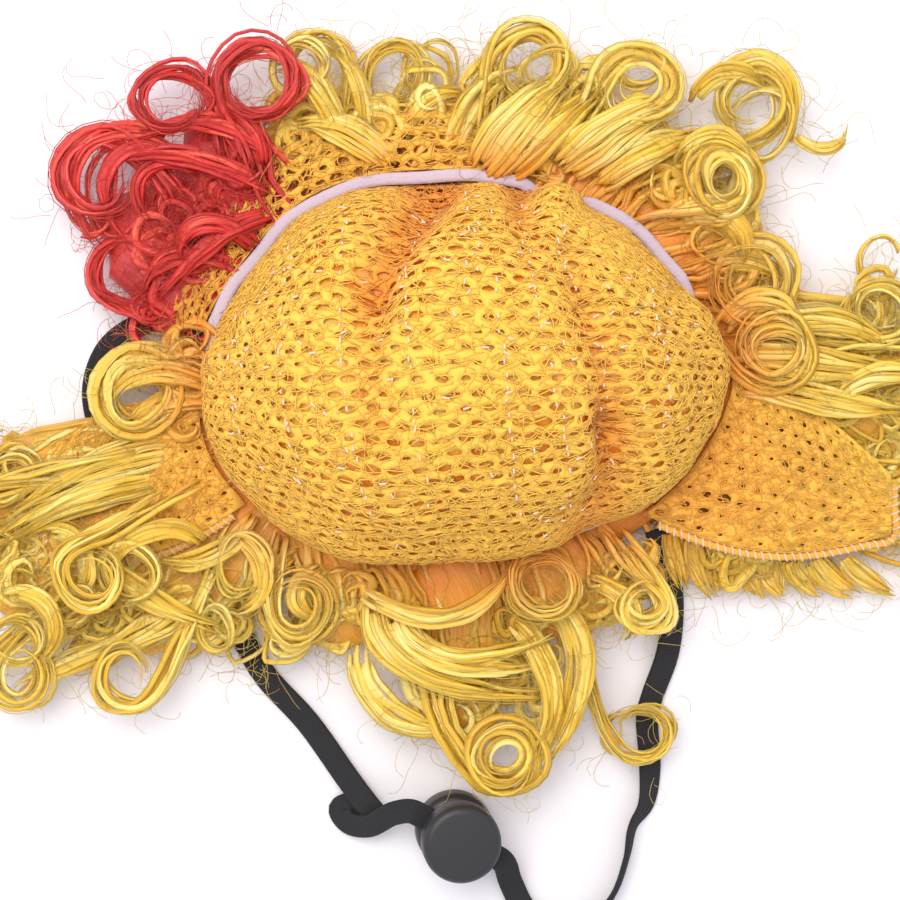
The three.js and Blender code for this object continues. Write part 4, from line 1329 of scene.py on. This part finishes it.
def ringlet(lock):
    """A tress wound round its place: strips that follow each other a little apart."""
    line = lock_line(lock)[::2]
    t = np.linspace(0, 1, len(line))
    taper = 1 - 0.35 * t**3
    half = lock["wide"] * LOCK_WIDTH / 2 * taper
    tall = lock["tall"] * HAIR_DEPTH / 2 * taper
    side = turned_sides(line, 0.0)[0]
    parts = []
    for k in range(RINGLET_STRIPS):
        across = -0.8 + 1.6 * k / (RINGLET_STRIPS - 1) + rng.normal(0, 0.12)
        lift = rng.uniform(-0.5, 0.6)
        guide = line + side * (half * across)[:, None]
        guide[:, 2] += tall * lift
        first = rng.integers(0, len(line) // 4)
        last = len(line) - rng.integers(0, len(line) // 5)
        guide = wobbled(guide[first:last], 0.6, (37.0, 24.0))
        shade = rng.uniform(0.3, 0.85)
        parts += strip(guide, half[first:last] * rng.uniform(0.2, 0.36), shade, 1, 0.5)
    return parts, [line]


def weft_roll(low_angle, high_angle):
    """The sewn heads of the wefts: a low roll of hair under the rim, painted dark orange as shade.
    """
    angle = np.linspace(low_angle, high_angle, 40)
    path = rim_point(angle, 0, 5.4)
    return swept(path[None], ellipse(12), WEFT_WIDTH / 2 * 0.9, 4.6, tone=0.3, warmth=0.95)


def broad_band(band):
    """A broad satin band: narrow strips side by side, each a little above or below."""
    line = cubic(band)
    side = turned_sides(line, 0.0)[0]
    turn = math.radians(band["turn"])
    count = max(2, round(band["wide"] / STRIP_PITCH))
    t = np.linspace(0, 1, len(line))
    gather = 0.75 + 0.35 * np.sin(np.pi * np.clip(t * 1.2, 0, 1)) - 0.35 * t**3
    shade = rng.uniform(0.6, 0.85)
    parts = []
    for k in range(count):
        across = (k + 0.5) / count * 2 - 1
        off = across * band["wide"] / 2
        guide = line + side * (off * gather * math.cos(turn))[:, None]
        guide[:, 2] += off * math.sin(turn) * np.sin(np.pi * t)
        guide[:, 2] += 0.9 * (1 - across**2) + rng.normal(0, 0.22)
        first, last = rng.integers(0, 3), len(line) - rng.integers(0, 4)
        guide = wobbled(guide[first:last], 0.3)
        tone = shade + rng.normal(0, 0.1) - 0.35 * np.linspace(0, 1, len(guide)) ** 2
        parts += strip(guide, rng.uniform(0.6, 1.0), tone, 1, 0.25)
    return parts


def ring_strips(ring):
    """An open ring of three strips side by side, and its guide."""
    guide = wobbled(ring_line(ring), 0.5, (37.0, 24.0))
    parts = []
    for shift in (-0.3, 0.0, 0.3):
        beside = wobbled(guide + ring["wide"] * shift * np.array([1, 1, 0.6]), 0.4, (33.0,))
        parts += strip(beside, ring["wide"] * 0.24, 0.7 + shift / 3, 2, 0.6)
    return parts, guide


LOW_GROUPS = {"side_hair_left": 0.82, "side_hair_right": 0.85}
FRIZZ_REACH = 3.2
for name, rows in HAIR.items():
    red = name == "red_forelock"
    flat, short = LOW_GROUPS.get(name, 1.0), 0.7 if red else 1.0
    parts = [weft_roll(*WEFTS[name])]
    guides = []
    for lock in named(LOCK_COLUMNS, rows):
        lock_parts, lock_guides = ringlet(lock) if lock["turns"] else lobe(lock, flat, short)
        parts += lock_parts
        guides += lock_guides
    for band in named(BAND_COLUMNS, BANDS[name]):
        parts += broad_band(band)
        guides.append(cubic(band))
    for ring in named(RING_COLUMNS, RINGS[name]):
        ring_parts, guide = ring_strips(ring)
        parts += ring_parts
        guides.append(guide)
    finish, slot_name = (red_fibre, "red_hair") if red else (yellow_fibre, "yellow_hair")
    piece(f"{name}_strands", joined(parts), finish, name)
    spots = np.concatenate([guide[len(guide) // 4 :] for guide in guides])
    loose = frizz(spots, FRIZZ_REACH, (15 if red else 11) * len(guides))
    piece(f"{name}_frizz", loose, finish)

# %% [markdown]
# ## Chin strap
# One flat black braided elastic runs from the rim under the temple curl and the side hair, folds
# over at the cord lock, passes through its slot and comes back to the rim on the right.

# %% Chin strap
ROUTE = named(
    "x y z roll",
    """
        -60 19.5 10.5 35
        -66.5 24.5 7 30
        -78 21.5 3 15
        -86 15.5 1.6 0
        -89.5 6 1.2 0
        -88 -4 1.2 0
        -83 -14 1.2 0
        -76 -26 1.2 0
        -68 -38 1.2 0
        -60 -48 1.2 0
        -52.7 -56.4 1.2 0
        -46.6 -66.4 1.2 0
        -35.8 -78.2 1.3 0
        -25.5 -92.5 2.2 0
        -20.6 -98.6 4.2 0
        -19.2 -100.3 4.1 0
        -20.2 -99.6 2.3 0
        -24.4 -98.8 1.6 8
        -27.6 -100 1.7 14
        -25.6 -103.2 2.6 18
        -20.5 -103.6 5.6 12
        -14 -99.6 10.8 4
        -9.6 -98.7 12.7 0
        -6.4 -100.2 12.5 0
        1.85 -105 11 0
        10.1 -109.8 9.5 0
        13.2 -112 8.4 0
        15.2 -118 3.4 6
        19 -125.5 1.6 10
        26 -130.5 2 40
        35 -128 2.8 70
        41 -121 3.2 80
        44.3 -111.7 3.2 80
        45.8 -104.1 3.1 70
        49.2 -98.5 2.6 45
        50.2 -89.2 2.2 25
        49.5 -76.7 2 20
        50.7 -71.8 2 20
        54.6 -61 1.8 15
        55.8 -51.7 1.8 15
        55.4 -43.6 2.6 15
        53.5 -36 4.4 10
        51.4 -29.6 6.6 0
    """,
)
EACH = 6
strap_line = smooth_path([[spot[key] for key in "xyz"] for spot in ROUTE], EACH)
rolls = np.interp(
    np.arange(len(strap_line)) / EACH, np.arange(len(ROUTE)), [spot["roll"] for spot in ROUTE]
)


def steady_sides(line):
    """Level sides along a line that may climb steeply, kept from flipping over."""
    along = unit(np.gradient(line, axis=0))
    sides = []
    last = None
    for way in along:
        side = np.cross(way, UP)
        if np.linalg.norm(side) < 0.2 and last is not None:
            side = last - way * np.dot(last, way)
        if last is not None and np.dot(side, last) < 0:
            side = -side
        last = unit(side)
        sides.append(last)
    return along, np.array(sides)


def flat_band(line, roll, half_width, half_thickness, ribs):
    """A flat ribbed band along a line."""
    along, side = steady_sides(line)
    turn = np.radians(roll)[:, None]
    wide = np.cos(turn) * side + np.sin(turn) * np.cross(along, side)
    rise = unit(np.cross(wide, along))
    across = np.linspace(-1, 1, 4 * ribs + 1)
    bulge = 1 - 0.16 * np.cos(np.linspace(0, ribs * 2 * np.pi, len(across))) - 0.45 * across**12
    foot = np.stack([across, -bulge], axis=1)
    corners = np.concatenate([foot, np.stack([across[::-1], bulge[::-1]], axis=1)])
    points = (
        line[:, None]
        + wide[:, None] * corners[:, :1] * half_width
        + rise[:, None] * corners[:, 1:] * half_thickness
    )
    steps, n = points.shape[:2]
    weave = 0.5 + 0.5 * np.sin(np.arange(steps) * 2.4)
    faces = tube_faces(1, steps, n)
    return with_marks(points.reshape(-1, 3), faces, np.repeat(weave, n), warmth=0.2)


STRAP_RIBS = 4
strap_part = flat_band(strap_line, rolls, STRAP_WIDTH / 2, STRAP_THICKNESS / 2, STRAP_RIBS)
chin_strap = piece("braided_chin_strap", strap_part, black_elastic, "chin_strap")

# %% [markdown]
# ## Cord lock
# A round spring lock in two moulded halves. The lower one has a slotted neck that the strap
# runs through; the upper one slides on the neck and pinches the strap.

# %% Cord lock
LOCK_TILT = 9
LOCK_TURN = -30
LOCK_CENTRE = (0.5, -104.2)
NECK_DIAMETER = 11.0
BASE_TOP = LOCK_HEIGHT * 0.4
NECK_TOP = LOCK_HEIGHT * 0.8
SLOT_LOW = BASE_TOP + 0.5
SLOT_HIGH = SLOT_LOW + STRAP_THICKNESS + 1.8
SLOT_WIDTH = STRAP_WIDTH + 1.8


def disc(name, radius, low, high, rounding, sides=64):
    """A round block with rounded rims, made where it stands before it leans."""
    bpy.ops.mesh.primitive_cylinder_add(
        vertices=sides,
        radius=radius / 1000,
        depth=(high - low) / 1000,
        location=(0, 0, (high + low) / 2000),
    )
    thing = bpy.context.object
    thing.name = name
    bpy.ops.object.transform_apply(location=True, rotation=True, scale=True)
    if rounding:
        bevel = thing.modifiers.new("rounded rims", "BEVEL")
        bevel.width = rounding / 1000
        bevel.segments = 5
        bevel.limit_method = "ANGLE"
        bpy.ops.object.modifier_apply(modifier=bevel.name)
    return thing


def combine(thing, other, operation):
    """Adds the other thing to this one, or cuts it out, and removes it."""
    boolean = thing.modifiers.new(operation.lower(), "BOOLEAN")
    boolean.object = other
    boolean.operation = operation
    boolean.solver = "EXACT"
    bpy.context.view_layer.objects.active = thing
    bpy.ops.object.modifier_apply(modifier=boolean.name)
    bpy.data.objects.remove(other)


def lock_half(thing, node):
    """Leans a half of the lock into place on the table and shows it."""
    lift = LOCK_DIAMETER / 2 * 0.75 * math.sin(math.radians(LOCK_TILT))
    place = (
        Matrix.Translation((LOCK_CENTRE[0] / 1000, LOCK_CENTRE[1] / 1000, lift / 1000))
        @ Matrix.Rotation(math.radians(LOCK_TURN), 4, "Z")
        @ Matrix.Rotation(math.radians(LOCK_TILT), 4, "Y")
    )
    thing.data.transform(place)
    thing.data.materials.clear()
    thing.data.materials.append(black_plastic)
    bpy.context.view_layer.objects.active = thing
    thing.select_set(True)
    bpy.ops.object.shade_smooth_by_angle(angle=math.radians(35))
    thing.select_set(False)
    return shown(thing, node)


lock_radius = LOCK_DIAMETER / 2
base = disc("moulded_lock_base", lock_radius, 0, BASE_TOP, 2.2)
combine(base, disc("neck", NECK_DIAMETER / 2, BASE_TOP - 1, NECK_TOP, 0.4, 48), "UNION")
bpy.ops.mesh.primitive_cube_add(size=1, location=(0, 0, (SLOT_LOW + SLOT_HIGH) / 2000))
slot = bpy.context.object
slot.scale = (0.04, SLOT_WIDTH / 1000, (SLOT_HIGH - SLOT_LOW) / 1000)
bpy.ops.object.transform_apply(location=True, rotation=True, scale=True)
combine(base, slot, "DIFFERENCE")
lock_base = lock_half(base, "cord_lock_base")

foot = SLOT_HIGH + 0.3
button = disc("moulded_lock_button", lock_radius, foot, LOCK_HEIGHT, 2.0)
bore = disc("bore", NECK_DIAMETER / 2 + 0.3, foot - 2, NECK_TOP + 0.6, 0, 48)
combine(button, bore, "DIFFERENCE")
lock_button = lock_half(button, "cord_lock_button")

# %% [markdown]
# ## Table and light
# A white table under one broad soft light gives the pale, slightly lilac shadows.

# %% Table and light
bpy.ops.mesh.primitive_plane_add(size=4, location=(0, 0, 0))
table = bpy.context.object
table.name = "table"
table.data.materials.append(
    finish_of("white table", {"Roughness": 0.9, "Base Color": "#F3F2F4"})[0]
)

world = bpy.data.worlds.new("soft room")
bpy.context.scene.world = world
world.use_nodes = True
sky = world.node_tree.nodes["Background"]
sky.inputs["Color"].default_value = linear("#F1EFFA")
sky.inputs["Strength"].default_value = 0.98

lamp = bpy.data.lights.new("window", "AREA")
lamp.size = 0.7
lamp.energy = 7.0
lamp.color = linear("#FFF8EF")[:3]
window = bpy.data.objects.new("window", lamp)
bpy.context.scene.collection.objects.link(window)
window.location = (-0.2, 0.28, 0.95)
window.rotation_euler = (math.radians(-16), math.radians(-12), 0)

camera_data = bpy.data.cameras.new("camera")
camera_data.lens = 85
camera_data.sensor_width = 36
camera_data.clip_start = 0.01
camera = bpy.data.objects.new("camera", camera_data)
bpy.context.scene.collection.objects.link(camera)
camera.location = (0, -0.0098, 0.5356)
bpy.context.scene.camera = camera
bpy.context.scene.view_settings.view_transform = "Standard"
